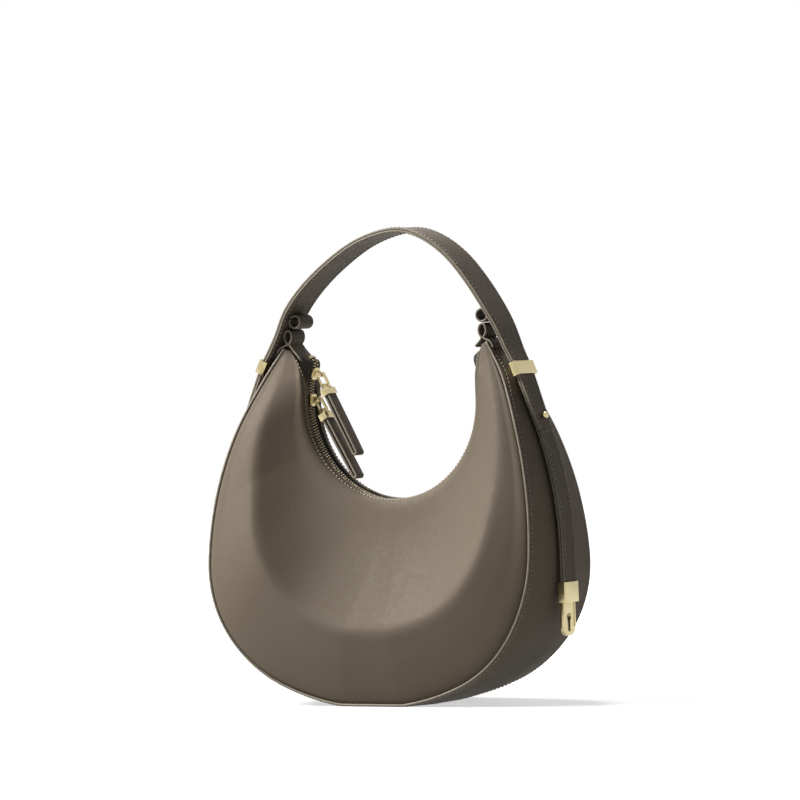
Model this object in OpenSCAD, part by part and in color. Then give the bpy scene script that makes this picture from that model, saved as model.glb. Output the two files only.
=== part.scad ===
// Half moon bag: a crescent of two soft leather panels round a gusset strip, closed by a curved
// two-way zip, with a shaped carrying strap that runs through a metal keeper on each side, buttons
// on a ball stud and ends in a hanging tail with a keyhole plate.
// X runs along the bag, the front panel faces -Y and Z is up. The bag stands on its base flat.

/* [Body] */
// Width across the side seams
body_w = 260; // [250:1:270]
// Height of the widest point above the base
widest_z = 102.4; // [98:0.2:108]
// Height of the horn tips
tip_z = 250; // [246:1:254]
// Radius of the bottom sweep of the seam
bottom_r = 179; // [170:1:190]
// Radius of the seam from the widest point to the horns
horn_r = 254; // [246:1:264]
// How much of the bottom sweep is pressed flat to stand on
base_flat = 1.6; // [1.2:0.1:2.2]
// Largest half depth of the gusset
half_depth = 46; // [43:0.5:49]
// Thickness of the panel leather
leather_t = 1.6; // [1.4:0.1:1.8]
// Thickness of the gusset leather
gusset_t = 1.8; // [1.6:0.1:2]
// Width of the panel edge turned in under the gusset
flange_w = 7; // [5:0.5:8]
// How far the gusset edge stands proud of the panel
edge_proud = 0.8; // [0.6:0.1:1.2]
// Crown of the gusset across its width
gusset_crown = 2; // [1.5:0.1:2.4]

/* [Mouth and zip] */
// Radius of the leather edge round the mouth
mouth_r = 69; // [66:0.5:71]
// Height of the centre of the mouth
mouth_z = 211.4; // [208:0.2:214]
// How far the soft mouth lies off the middle
mouth_shift = 4.5; // [0:0.5:6]
// Half of the gap between the two leather edges
mouth_half = 7; // [6.5:0.25:8]
// Width of the stitched shelf along the mouth
shelf_w = 5.5; // [4.5:0.5:6.5]
// Thickness of the zip tape
tape_t = 0.6; // [0.5:0.05:0.8]
// Half width of the closed zip chain
chain_half = 2.9; // [2.6:0.1:3.1]
// Half of the split between the two rows of teeth
chain_split = 0.45; // [0.4:0.05:0.5]
// Height of a zip tooth
tooth_h = 2.4; // [2.2:0.1:2.6]
// Height of the bead between the teeth
bead_h = 1.1; // [0.9:0.1:1.3]
// Spacing of the teeth
tooth_pitch = 2.8; // [2.6:0.1:3.2]
// Straight run of the chain at each end
chain_run = 6; // [5:0.5:8]
// Length of the zip stops
stop_l = 2.6; // [2:0.2:3]

/* [Zip sliders and pulls] */
// Length of a slider along the chain
slider_l = 8.4; // [7.6:0.2:9]
// Half width of a slider
slider_half = 4.2; // [4:0.1:4.4]
// Thickness of the slider plates
slider_t = 1; // [0.9:0.05:1.2]
// Thickness of the slider's side flanges
slider_flange = 0.8; // [0.6:0.1:0.9]
// Half thickness of the web that joins the plates between the teeth
slider_web = 0.3; // [0.25:0.05:0.35]
// Length of that web
slider_web_l = 2.8; // [2:0.2:3.4]
// Height of the pull's pin above the chain
pin_rise = 6.2; // [5.8:0.2:7]
// Radius of the pull's pin
pin_r = 0.7; // [0.6:0.05:0.8]
// Half width between the ears
ear_in = 1.2; // [1.1:0.1:1.4]
// Thickness of an ear
ear_t = 0.9; // [0.8:0.1:1.1]
// Length of the pull's eye link
link_l = 14; // [12:0.5:15]
// Half width of the link
link_half = 3.7; // [3.4:0.1:4]
// Half thickness of the link
link_y = 0.95; // [0.8:0.05:1]
// Half width of the link's eye
eye_half = 1.9; // [1.7:0.1:2.1]
// Length of the ferrule
ferrule_l = 9; // [8:0.5:10]
// Half width of the ferrule
ferrule_half = 3.1; // [2.9:0.1:3.4]
// Width of a leather pull
pull_w = 10; // [9:0.5:10]
// Thickness of one layer of a pull
pull_t = 1.7; // [1.5:0.1:1.8]
// Gap between the two layers of a pull
pull_gap = 0.9; // [0.7:0.1:1.2]
// Distance from the pin to the end of a pull
pull_reach = 64; // [58:1:66]
// Drop of the ferrule end past the start of the leather
pull_grip = 3; // [2:0.5:4]

/* [Strap] */
// Height of the strap's arch above the base
arch_z = 331.4; // [325:0.5:340]
// Sideways lean of the top of the arch
arch_x = 14; // [0:1:16]
// Width of the strap over the hand
strap_w = 28.5; // [26:0.5:30]
// Width of the strap at the keepers
keeper_strap_w = 22; // [20:0.5:23]
// Width of the strap's tails
tail_w = 18; // [16:0.5:19]
// Thickness of the strap's outer leather
strap_t = 1.7; // [1.5:0.1:1.9]
// Thickness of the strap's lining leather
strap_lining_t = 1.5; // [1.3:0.1:1.7]
// Gap between the gusset's crown and the strap's tail
tail_gap = 2.2; // [1.8:0.1:2.6]
// Width of the folded end tabs and of the strap loops
tab_w = 18; // [16:0.5:20]
// Thickness of the tab leather
tab_t = 1.4; // [1.2:0.1:1.6]
// Height of the teardrop fold over each horn tip
tab_loop_h = 11.6; // [10:0.2:13]
// Width of the teardrop fold
tab_loop_w = 7.2; // [6.8:0.2:8]
// Outside radius of the strap loops
loop_r = 5; // [4.6:0.1:5.6]

/* [Metal fittings] */
// How far the strap stands off the seam line at the right keeper
right_lift = 10.7; // [9.5:0.1:11.5]
// How far the strap stands off the seam line at the left keeper
left_lift = 8.7; // [8:0.1:10]
// Height of a keeper along the strap
keeper_h = 9.5; // [8:0.5:11]
// Wall of a keeper
keeper_t = 1.3; // [1.1:0.1:1.5]
// Free width inside a keeper
keeper_in_w = 24.4; // [24:0.2:26]
// Corner radius of a keeper
keeper_r = 1.6; // [1.4:0.1:2]
// Radius of the ball of a stud
ball_r = 2.5; // [2.3:0.1:2.6]
// Radius of the neck of a stud
neck_r = 1.4; // [1.2:0.1:1.5]
// Radius of the collar of a stud
collar_r = 4.4; // [4:0.1:5]
// Radius of the screws and rivets through the gusset
shank_r = 1.1; // [1:0.05:1.2]
// Radius of the screw heads
head_r = 3; // [2.6:0.1:3.4]
// Radius of the rivet heads
rivet_head_r = 2.2; // [2:0.1:2.4]
// Height of their heads
head_h = 1; // [0.8:0.1:1.2]
// Width of the clamp on the end of a tail
clamp_w = 19.4; // [18.6:0.2:21]
// Height of the clamp's top above the base
clamp_z = 83.5; // [78:0.5:90]
// Height of the clamp
clamp_h = 14; // [12:0.5:16]
// Depth of the clamp
clamp_d = 6.4; // [6.2:0.1:6.8]
// Wall of the clamp outside the leather
clamp_wall = 1; // [0.8:0.1:1.2]
// Length of the leather inside the clamp
clamp_grip = 8; // [7:0.5:9]
// Width of the keyhole plate
plate_w = 17; // [16:0.5:18]
// Thickness of the keyhole plate
plate_t = 2.4; // [2:0.1:2.6]
// Length of the keyhole plate below the clamp
plate_l = 23; // [21:0.5:25]
// Radius of the keyhole's entry
key_r = 2.8; // [2.7:0.1:3.1]
// Half width of the keyhole's slot
key_slot = 1.65; // [1.6:0.05:1.8]

/* [Inside] */
// Thickness of the cloth lining
lining_t = 0.8; // [0.6:0.1:1]
// Room between the leather and the lining
lining_gap = 0.5; // [0.4:0.1:0.8]

/* [Hidden] */

// Clearance of leather against leather, and of a piece on its seat
clear = 0.3;
// Gap between glued layers
glue = 0.1;
// Running clearance of small metal parts
fit = 0.12;
// Room between the gusset and a rivet head, which the gusset's slope takes up
rivet_room = 2.1;
// Overrun of a cut past the face that it opens
over = 1;
// Crown of the gusset where it meets the end tabs
tip_crown = 0.4;
// Edge break of the metal fittings
edge_break = 0.4;
// Columns of the leather surfaces from one horn tip to the other
columns = 44;
// Places of the fittings along the horn sweep, from the widest place to the tip
right_keeper_share = 0.8163;
left_keeper_share = 0.8726;
stud_share = 0.5967;
flex_share = 0.5376;
tab_share = 0.9598;
tab_top_share = 0.988;
// Places of the sliders and of the chain ends about the mouth, up from its sides
upper_turn = 16.5;
lower_turn = 1;
chain_turn = 20.5;
run_lean = 45;
// Directions in which the pulls hang
upper_hang = 62.5;
lower_hang = 60.5;
// Half depth of the gusset by height, from the tab width to the full half depth
depth_shares = [[0, 0.89], [0.25, 1], [0.5, 0.84], [0.75, 0.52], [1, 0]];
// Profile of a panel from its seam to the mouth: across, and out from the seam
belly_rise_share = 0.04;
belly_crest_share = 0.35;
dish_share = 0.02;
across_shares = [0, 0.2, 0.4, 0.6, 0.8, 0.985];
shelf_start_share = 0.9;
// Rows of a panel, and how the mouth follows the seam
panel_row_shares = [0.04, 0.1, 0.19, 0.3, 0.42, 0.54, 0.66, 0.78, 0.9, 1];
follow_power = 1.5;
flare_power = 3;
// Inset of the panel tips from the seam tip
lip_tip_in = 4.5;
lip_tip_drop = 2;
// The least share of the gusset's half depth that the mouth may take
lip_share = 0.62;
shelf_share = 0.6;
// Reach of the raised crown below and above a keeper, and start of the fall to the tips
crown_low_share = 0.06;
crown_high_share = 0.05;
crown_fall_share = 0.88;
// Crown across the gusset
crown_shares = [[-1, 0], [-0.7, 0.62], [-0.4, 1], [0.4, 1], [0.7, 0.62], [1, 0]];
// The strap's outer face from each keeper to the top of the arch
right_arch_shares = [[0.071, 0.132], [0.149, 0.3], [0.257, 0.469],
    [0.385, 0.64], [0.548, 0.812], [0.76, 0.946]];
left_arch_shares = [[0.06, 0.11], [0.135, 0.25], [0.205, 0.414],
    [0.328, 0.586], [0.5, 0.756], [0.731, 0.922]];
strap_steps = 4;
// Where the strap's width starts and ends its taper, along the arch tables
taper_row = 3.2;
// Teardrop fold of an end tab: across its width and up its height
tab_fold_shares = [[0.15, 0.04], [0.4, 0.3], [0.5, 0.6], [0.34, 0.9], [0, 1],
    [-0.34, 0.9], [-0.5, 0.6], [-0.4, 0.3], [-0.15, 0.06]];
// Root of the fold: back from the horn tip, up from it, spread of the inner leg and lift over the tip
left_tab_in = 4.2;
right_tab_in = 3.2;
tab_rise = 1.8;
tab_splay = 2.4;
tab_lift = 0.6;
// Reach of a zip tape up the straight runs of the zip
tape_reach_share = 0.76;
// Reach of the linings toward the horns and the mouth
lining_reach_share = 0.88;
lining_row_shares = [0.1, 0.19, 0.3, 0.42, 0.54, 0.66, 0.78, 0.83];
pocket_reach_share = 0.3;
pocket_row_shares = [0.3, 0.42, 0.54, 0.66];
// Bulge of the pocket off the lining
pocket_gap = 0.5;
// Ear size round a slider's pin
ear_r = 1.5;
// Rounding of the keyhole plate, depth of its tongue in the clamp and its set back
plate_round = 6;
plate_tongue = 5;
plate_back = 0.8;
// Rims along the sides of the plate
rim_w = 1.2;
rim_h = 0.6;
// Seat of the keyhole in the plate: from the plate's end to the slot and to the entry
slot_end = 3;
slot_run = 8;

half_w = body_w / 2;
sweep_z = bottom_r - base_flat;
corner_r = (half_w^2 + (sweep_z - widest_z)^2 - bottom_r^2) / (2 * (half_w - bottom_r));
corner_x = half_w - corner_r;
corner_turn = -atan2(widest_z - sweep_z, corner_x);
horn_x = half_w - horn_r;
horn_turn = asin((tip_z - widest_z) / horn_r);
right_keeper_turn = right_keeper_share * horn_turn;
left_keeper_turn = left_keeper_share * horn_turn;
stud_turn = stud_share * horn_turn;
flex_turn = flex_share * horn_turn;
tab_turn = tab_share * horn_turn;
tab_top_turn = tab_top_share * horn_turn;
rad = PI / 180;
len_a = bottom_r * (90 - corner_turn) * rad;
len_b = corner_r * corner_turn * rad;
len_c = horn_r * horn_turn * rad;
len_seam = len_a + len_b + len_c;
tip_x = horn_x + horn_r * cos(horn_turn);
tab_half = tab_w / 2;
strap_all = strap_t + glue + strap_lining_t;
tail_off = gusset_crown + tail_gap + strap_all;
chain_r = mouth_r + leather_t + clear + tape_t / 2;
arc_share = 90 * mouth_r * rad / (90 * mouth_r * rad + tip_z - lip_tip_drop - mouth_z);
keeper_back = strap_all + clear + glue + keeper_t;

function lerp(a, b, w) = a + (b - a) * w;
function unit(v) = v / norm(v);
function side_of(t) = t < 0 ? -1 : 1;
function sq(v) = v * v;

// Point of a curve through p1 and p2, with p0 and p3 as its neighbours
function through(p0, p1, p2, p3, w) =
    p1 + (p2 - p0) * w / 2 + (2 * p0 - 5 * p1 + 4 * p2 - p3) * w^2 / 2
    + (3 * p1 - p0 - 3 * p2 + p3) * w^3 / 2;
function spline(p, n) = let (last = len(p) - 1) concat(
    [for (i = [0 : last - 1], k = [0 : n - 1])
        through(p[max(i - 1, 0)], p[i], p[i + 1], p[min(i + 2, last)], k / n)],
    [p[last]]);
function bezier(p, w) = len(p) == 1 ? p[0] : bezier([for (i = [1 : len(p) - 1]) lerp(p[i - 1], p[i], w)], w);

// Seam line of the gusset in the XZ plane, u from the middle of the base to a horn tip
function seam_angle(u) = let (l = u * len_seam)
    l < len_a ? -90 + l / bottom_r / rad
    : l < len_a + len_b ? -corner_turn + (l - len_a) / corner_r / rad
    : (l - len_a - len_b) / horn_r / rad;
function seam_raw(u) = let (l = u * len_seam, a = seam_angle(u))
    l < len_a ? [bottom_r * cos(a), sweep_z + bottom_r * sin(a)]
    : l < len_a + len_b ? [corner_x + corner_r * cos(a), widest_z + corner_r * sin(a)]
    : [horn_x + horn_r * cos(a), widest_z + horn_r * sin(a)];
// The same at a distance out from the seam line, over both halves: t from -1 to 1, never below low
function seam(t, out = 0, low = 0) = let (
    u = abs(t), a = seam_angle(u), p = seam_raw(u) + out * [cos(a), sin(a)])
    [side_of(t) * p[0], max(p[1], low)];
function horn_share(a) = (len_a + len_b + a * rad * horn_r) / len_seam;
function horn_point(a, out, side) =
    [side * (horn_x + (horn_r + out) * cos(a)), widest_z + (horn_r + out) * sin(a)];

// Half depth of the gusset at a height
function depth_share(v) = let (
    last = len(depth_shares) - 1,
    i = min(floor(v * last), last - 1),
    s = [for (d = depth_shares) d[1]])
    through(s[max(i - 1, 0)], s[i], s[i + 1], s[min(i + 2, last)], v * last - i);
function depth(t) = lerp(tab_half, half_depth, depth_share(min(max(seam(t)[1] / tip_z, 0), 1)));

// Leather edge of the mouth in the XZ plane
function follow(t) = abs(t)^follow_power;
function mouth(t) = let (
    e = follow(t), side = side_of(t),
    a = -90 + 90 * e / arc_share,
    v = (e - arc_share) / (1 - arc_share),
    start = mouth_shift + side * mouth_r,
    end = side * (tip_x - lip_tip_in))
    e < arc_share ? [mouth_shift + side * mouth_r * cos(a), mouth_z + mouth_r * sin(a)]
    : [lerp(start, end, v^flare_power), lerp(mouth_z, tip_z - lip_tip_drop, v)];
function lip_y(t) = min(mouth_half, lip_share * depth(t));
function shelf(t) = min(shelf_w, shelf_share * (depth(t) - lip_y(t)));

// Outer surface of the front panel: w runs from the seam to the mouth
panel_inset = gusset_t + clear;
function panel_point(t, w) = let (
    o = seam(t, -panel_inset, panel_inset), e = mouth(t), span = norm(e - o),
    h = depth(t) - edge_proud,
    fold = lip_y(t) + shelf(t),
    b = min(w / shelf_start_share, 1),
    s = bezier(across_shares, b),
    d = bezier([h, h + belly_rise_share * span, h + belly_crest_share * span,
        fold - dish_share * span, fold, fold], b),
    v = max(w - shelf_start_share, 0) / (1 - shelf_start_share),
    p = lerp(o, e, lerp(s, 1, v)))
    [p[0], -lerp(d, lip_y(t), v), p[1]];
nudge = 0.004;
function panel_normal(t, w) = let (
    a = max(t - nudge, -1), b = min(t + nudge, 1), c = max(w - nudge, 0), d = min(w + nudge, 1))
    unit(cross(panel_point(b, w) - panel_point(a, w), panel_point(t, d) - panel_point(t, c)));
function panel_under(t, w, depth_in) = panel_point(t, w) - depth_in * panel_normal(t, w);

// A closed skin between two grids of points with the same rows and columns
module skin(outer, inner, turned = false) {
    n = len(outer);
    m = len(outer[0]);
    size = n * m;
    function id(i, j, k) = k * size + i * m + j;
    function quad(a, b, c, d) = turned ? [[a, c, b], [a, d, c]] : [[a, b, c], [a, c, d]];
    faces = [
        for (i = [0 : n - 2], j = [0 : m - 2], q = quad(
            id(i, j, 0), id(i, j + 1, 0), id(i + 1, j + 1, 0), id(i + 1, j, 0))) q,
        for (i = [0 : n - 2], j = [0 : m - 2], q = quad(
            id(i, j, 1), id(i + 1, j, 1), id(i + 1, j + 1, 1), id(i, j + 1, 1))) q,
        for (i = [0 : n - 2], q = quad(id(i, 0, 0), id(i + 1, 0, 0), id(i + 1, 0, 1), id(i, 0, 1))) q,
        for (i = [0 : n - 2], q = quad(
            id(i, m - 1, 0), id(i, m - 1, 1), id(i + 1, m - 1, 1), id(i + 1, m - 1, 0))) q,
        for (j = [0 : m - 2], q = quad(id(0, j, 0), id(0, j, 1), id(0, j + 1, 1), id(0, j + 1, 0))) q,
        for (j = [0 : m - 2], q = quad(
            id(n - 1, j, 0), id(n - 1, j + 1, 0), id(n - 1, j + 1, 1), id(n - 1, j, 1))) q];
    polyhedron(concat([for (r = outer) each r], [for (r = inner) each r]), faces, convexity = 10);
}

function at(p, y) = [p[0], y, p[1]];
function steps(n, reach) = [for (i = [0 : n]) lerp(-reach, reach, i / n)];

// One panel: the turned edge under the gusset, then the face up to the mouth
module panel() {
    function rim(t, deep) = let (
        h = depth(t) - edge_proud, turn_in = min(flange_w, shelf_share * h),
        o = seam(t, -panel_inset - deep, panel_inset + deep))
        [at(o, turn_in - h), at(o, deep - h)];
    outer = [for (t = steps(columns, 1)) concat(rim(t, 0), [for (w = panel_row_shares) panel_point(t, w)])];
    inner = [for (t = steps(columns, 1)) concat(rim(t, leather_t),
        [for (w = panel_row_shares) panel_under(t, w, leather_t)])];
    skin(outer, inner);
}

// A cloth sheet under the panel, between two depths below its face
module under_panel(reach, rows, top, thick, n) {
    grid = [for (d = [top, top + thick]) [for (t = steps(n, reach)) [for (w = rows) panel_under(t, w, d)]]];
    skin(grid[0], grid[1]);
}

module front_panel() { color("#6f6656") panel(); }
module back_panel() { color("#6f6656") mirror([0, 1, 0]) panel(); }

lining_top = leather_t + lining_gap;
function whole_columns(share) = 2 * floor(columns * share / 2);
lining_columns = whole_columns(lining_reach_share);
pocket_columns = whole_columns(pocket_reach_share);
module lining() {
    under_panel(lining_columns / columns, lining_row_shares, lining_top, lining_t, lining_columns);
}
module front_lining() { color("#8a7a62") lining(); }
module back_lining() { color("#8a7a62") mirror([0, 1, 0]) lining(); }
module slip_pocket() {
    color("#7d6e58") mirror([0, 1, 0])
        under_panel(pocket_columns / columns, pocket_row_shares,
            lining_top + lining_t + pocket_gap, lining_t, pocket_columns);
}

// Crown of the gusset: raised where the strap's keeper bears on it, low at the tips
function keeper_crown(side) = (side < 0 ? left_lift : right_lift) - keeper_back - 2 * clear;
function keeper_share(side) = horn_share(side < 0 ? left_keeper_turn : right_keeper_turn);
function crown(t) = let (
    side = side_of(t), u = abs(t), k = keeper_share(side),
    near = sq(max(0, 1 - sq((u - k) / (u < k ? crown_low_share : crown_high_share)))),
    fall = max(u - crown_fall_share, 0) / (1 - crown_fall_share),
    base = lerp(gusset_crown, tip_crown, fall * fall * (3 - 2 * fall)))
    lerp(base, keeper_crown(side), near);

// The gusset strip, or the cloth behind it, from one horn tip to the other
module strip(reach, n, half, out, thick) {
    grid = [for (d = [out, out - thick]) [for (t = steps(n, reach)) [for (v = crown_shares)
        let (y = v[0] * half(t), high = crown(t) * lookup(y / depth(t), crown_shares))
            at(seam(t, high + d, -d), y)]]];
    skin(grid[0], grid[1], true);
}
module gusset() {
    color("#5f574a") difference() {
        strip(1, columns, function (t) depth(t), 0, gusset_t);
        fasten_holes();
    }
}
module gusset_lining() {
    color("#8a7a62") strip(lining_reach_share, columns / 2,
        function (t) depth(t) - edge_proud - flange_w - lining_gap,
        -gusset_t - head_h - 4 * clear, lining_t);
}

// Chain line of the zip: an arc about the mouth, then a short bend out to each end stop
chain_end_turn = 90 + chain_turn;
arc_l = chain_end_turn * rad * chain_r;
bend_r = chain_run / ((run_lean + chain_turn) * rad);
function mouth_point(a, r) = [mouth_shift + r * sin(a), mouth_z - r * cos(a)];
function bend_angle(m) = (m - arc_l) / bend_r / rad - chain_turn;
function chain_at(l) = let (s = l < 0 ? -1 : 1, m = abs(l), b = bend_angle(m))
    m <= arc_l ? mouth_point(m / chain_r / rad * s, chain_r)
    : mouth_point(s * chain_end_turn, chain_r)
        + bend_r * [s * (cos(chain_turn) - cos(b)), sin(b) + sin(chain_turn)];
function chain_out(l) = let (s = l < 0 ? -1 : 1, m = abs(l), a = l / chain_r / rad, b = bend_angle(m))
    m <= arc_l ? [sin(a), -cos(a)] : [s * cos(b), -sin(b)];

// One row of teeth: a toothed bead that follows the chain line
module teeth() {
    pairs = floor((arc_l + chain_run) / tooth_pitch);
    function mark(k, out) = let (l = k * tooth_pitch) chain_at(l) + out * chain_out(l);
    edge = [for (k = [-pairs : pairs - 1]) each [
        [k, bead_h], [k + 0.22, bead_h], [k + 0.22, tooth_h], [k + 0.78, tooth_h], [k + 0.78, bead_h]]];
    top = [for (e = edge) mark(e[0], e[1] / 2)];
    low = [for (i = [len(edge) - 1 : -1 : 0]) mark(edge[i][0], -edge[i][1] / 2)];
    rotate([90, 0, 0]) translate([0, 0, chain_split])
        linear_extrude(chain_half - chain_split) polygon(concat(top, low));
}
module front_zip_teeth() { color("#c9b58a") teeth(); }
module back_zip_teeth() { color("#c9b58a") mirror([0, 1, 0]) teeth(); }

// Tape: from beside the chain out under the stitched shelf of the panel
module tape() {
    tape_in = leather_t + 2 * clear;
    reach = (arc_share + (1 - arc_share) * tape_reach_share)^(1 / follow_power);
    function along(t) = let (e = follow(t), v = (e - arc_share) / (1 - arc_share))
        side_of(t) * (e < arc_share ? e / arc_share * 90 * rad * chain_r
            : lerp(90 * rad * chain_r, arc_l + chain_run, v));
    function edge(t, d) = let (l = along(t), p = chain_at(l) + (d - tape_t / 2) * chain_out(l))
        [at(p, -chain_half - clear), at(p, -lip_y(t) + clear)];
    grid = [for (d = [0, tape_t]) [for (t = steps(columns, reach)) concat(edge(t, d),
        [for (w = [1, shelf_start_share]) panel_under(t, w, tape_in + d)])]];
    skin([for (r = grid[0]) [for (j = [3 : -1 : 0]) r[j]]],
        [for (r = grid[1]) [for (j = [3 : -1 : 0]) r[j]]]);
}
module front_zip_tape() { color("#3f3a31") tape(); }
module back_zip_tape() { color("#3f3a31") mirror([0, 1, 0]) tape(); }

module zip_stops() {
    start = floor((arc_l + chain_run) / tooth_pitch) * tooth_pitch + clear;
    color("#c9b58a") for (s = [-1, 1]) {
        a = chain_at(s * start);
        b = chain_at(s * (start + stop_l));
        n = chain_out(s * start) * tooth_h / 2;
        rotate([90, 0, 0]) translate([0, 0, -chain_half])
            linear_extrude(2 * chain_half) polygon([a - n, b - n, b + n, a + n]);
    }
}

// A leather band of even thickness along a line in the XZ plane
function line_normal(p, i) = let (d = unit(p[min(i + 1, len(p) - 1)] - p[max(i - 1, 0)])) [-d[1], d[0]];
module band(p, thick, wide) {
    left = [for (i = [0 : len(p) - 1]) p[i] + thick / 2 * line_normal(p, i)];
    right = [for (i = [len(p) - 1 : -1 : 0]) p[i] - thick / 2 * line_normal(p, i)];
    rotate([90, 0, 0]) translate([0, 0, -wide / 2]) linear_extrude(wide) polygon(concat(left, right));
}

// End tab: up the outside of a horn, a teardrop fold above its tip, and down over the zip's end
function tab_line(side) = let (
    leg = [for (a = [[tab_turn, 0], [tab_top_turn, tab_lift]])
        horn_point(a[0], crown(side * horn_share(a[0])) + clear + tab_t / 2 + a[1], side)],
    root = [side * (tip_x - (side < 0 ? left_tab_in : right_tab_in)), tip_z + tab_rise],
    fold = [for (s = tab_fold_shares)
        root + [side * s[0] * (tab_loop_w - tab_t), s[1] * (tab_loop_h - tab_t)]],
    l = side * (arc_l + chain_run),
    foot = chain_at(l) - (tooth_h / 2 + 3 * clear + tab_t) * chain_out(l),
    lip = root - [side * tab_splay, tab_rise],
    bend = (lip + foot) / 2 - [0, clear])
    spline(concat(leg, fold, [lip, bend, foot]), strap_steps);
module end_tab(side) { color("#5b5347") band(tab_line(side), tab_t, tab_w); }
module left_end_tab() { end_tab(-1); }
module right_end_tab() { end_tab(1); }

// Outer face of the strap in the XZ plane, from the flex line below one stud to the other
function keeper_point(side) = horn_point(
    side < 0 ? left_keeper_turn : right_keeper_turn, side < 0 ? left_lift : right_lift, side);
function stud_point(side) = horn_point(stud_turn, tail_off, side);
function flex_point(side) = horn_point(flex_turn, tail_off, side);
function arch_point(side, s) = let (k = keeper_point(side), top = [arch_x, arch_z])
    [lerp(k[0], top[0], s[0]), lerp(k[1], top[1], s[1])];
function half_strap(side) = concat(
    [flex_point(side), stud_point(side), keeper_point(side)],
    [for (s = side < 0 ? left_arch_shares : right_arch_shares) arch_point(side, s)]);
strap_marks = let (l = half_strap(-1), r = half_strap(1), n = len(r))
    concat(l, [[arch_x, arch_z]], [for (i = [n - 1 : -1 : 0]) r[i]]);
strap_line = spline(strap_marks, strap_steps);
// Width of the strap at a place along its marks
strap_last = len(strap_marks) - 1;
function strap_width(m) = let (k = min(m, strap_last - m))
    k < 1 ? tail_w : k < 2 ? lerp(tail_w, keeper_strap_w, k - 1)
    : let (v = min((k - 2) / taper_row, 1)) lerp(keeper_strap_w, strap_w, v * v * (3 - 2 * v));

// A layer of the strap between two depths below its outer face, with cut corners
module strap_layer(top, thick) {
    cut = thick / 4;
    n = len(strap_line);
    rings = [for (i = [0 : n - 1]) let (
        p = strap_line[i], d = unit(strap_line[min(i + 1, n - 1)] - strap_line[max(i - 1, 0)]),
        out = [-d[1], d[0]], h = strap_width(i / strap_steps) / 2)
        [for (c = [[-h, cut], [cut - h, 0], [h - cut, 0], [h, cut],
            [h, thick - cut], [h - cut, thick], [cut - h, thick], [-h, thick - cut]])
            at(p - (top + c[1]) * out, c[0])]];
    sides = [for (i = [0 : n - 2], j = [0 : 7]) let (
        a = i * 8 + j, b = i * 8 + (j + 1) % 8) each [[a, b, a + 8], [b, b + 8, a + 8]]];
    caps = [[for (j = [7 : -1 : 0]) j], [for (j = [0 : 7]) (n - 1) * 8 + j]];
    difference() {
        polyhedron([for (r = rings) each r], concat(sides, caps), convexity = 10);
        for (s = [-1, 1]) at_horn(stud_turn, tail_off, s)
            translate([0, 0, -strap_all - over])
                cylinder(h = strap_all + 2 * over, r = neck_r + clear, $fn = 32);
    }
}
module strap() { color("#665d4e") strap_layer(0, strap_t); }
module strap_lining() { color("#665d4e") strap_layer(strap_t + glue, strap_lining_t); }

// Strap loop: a tube of leather sewn to the inner face of the strap above each end tab
function strap_near(z, side) = [for (i = [0 : len(strap_line) - 2]) let (
    a = strap_line[i], b = strap_line[i + 1])
    if (side * a[0] > 0 && (a[1] - z) * (b[1] - z) <= 0) [a, b]][0];
function loop_seat(z, side) = let (
    s = strap_near(z, side), d = unit(s[0][1] < s[1][1] ? s[1] - s[0] : s[0] - s[1]))
    [lerp(s[0], s[1], (z - s[0][1]) / (s[1][1] - s[0][1])), side * [d[1], -d[0]]];
loop_back = strap_all + clear + loop_r;
module strap_loop(side) {
    z = tip_z + tab_rise + tab_loop_h - tab_t / 2 + clear + loop_r;
    seat = loop_seat(z + loop_back * loop_seat(z + loop_back / 2, side)[1][1], side);
    p = seat[0] - loop_back * seat[1];
    pad = loop_r / 2;
    bare = 2 * asin(pad / loop_r) / 3 * 2;
    turns = [for (k = [0 : 30]) lerp(bare, 360 - bare, k / 30)];
    color("#5b5347") translate([p[0], 0, p[1]]) rotate([90, 0, 0]) difference() {
        rotate([0, 0, atan2(seat[1][1], seat[1][0])]) linear_extrude(tab_w, center = true)
            polygon(concat([for (a = turns) loop_r * [cos(a), sin(a)]],
                [[loop_r + glue, -pad], [loop_r + glue, pad]]));
        cylinder(h = tab_w + 2 * over, r = loop_r - tab_t, center = true, $fn = 48);
    }
}
module left_strap_loop() { strap_loop(-1); }
module right_strap_loop() { strap_loop(1); }

// Places a piece on a horn: Z points out from the horn's sweep, X up along it
module at_horn(turn, out, side) {
    p = horn_point(turn, out, side);
    mirror([side < 0 ? 1 : 0, 0, 0]) translate([side * p[0], 0, p[1]]) rotate([0, 90 - turn, 0])
        rotate([0, 0, 180]) children();
}
function strap_tilt(side) = let (k = keeper_point(side), s = stud_point(side), a = arch_point(side,
    (side < 0 ? left_arch_shares : right_arch_shares)[0]), d = a - s) atan2(side * (s[0] - a[0]), d[1]);

// Keeper: a flat metal loop, square to the strap, riveted to the gusset's crown
module at_keeper(side) {
    p = keeper_point(side);
    mirror([side < 0 ? 1 : 0, 0, 0]) translate([side * p[0], 0, p[1]])
        rotate([0, 90 - strap_tilt(side), 0]) children();
}
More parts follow.
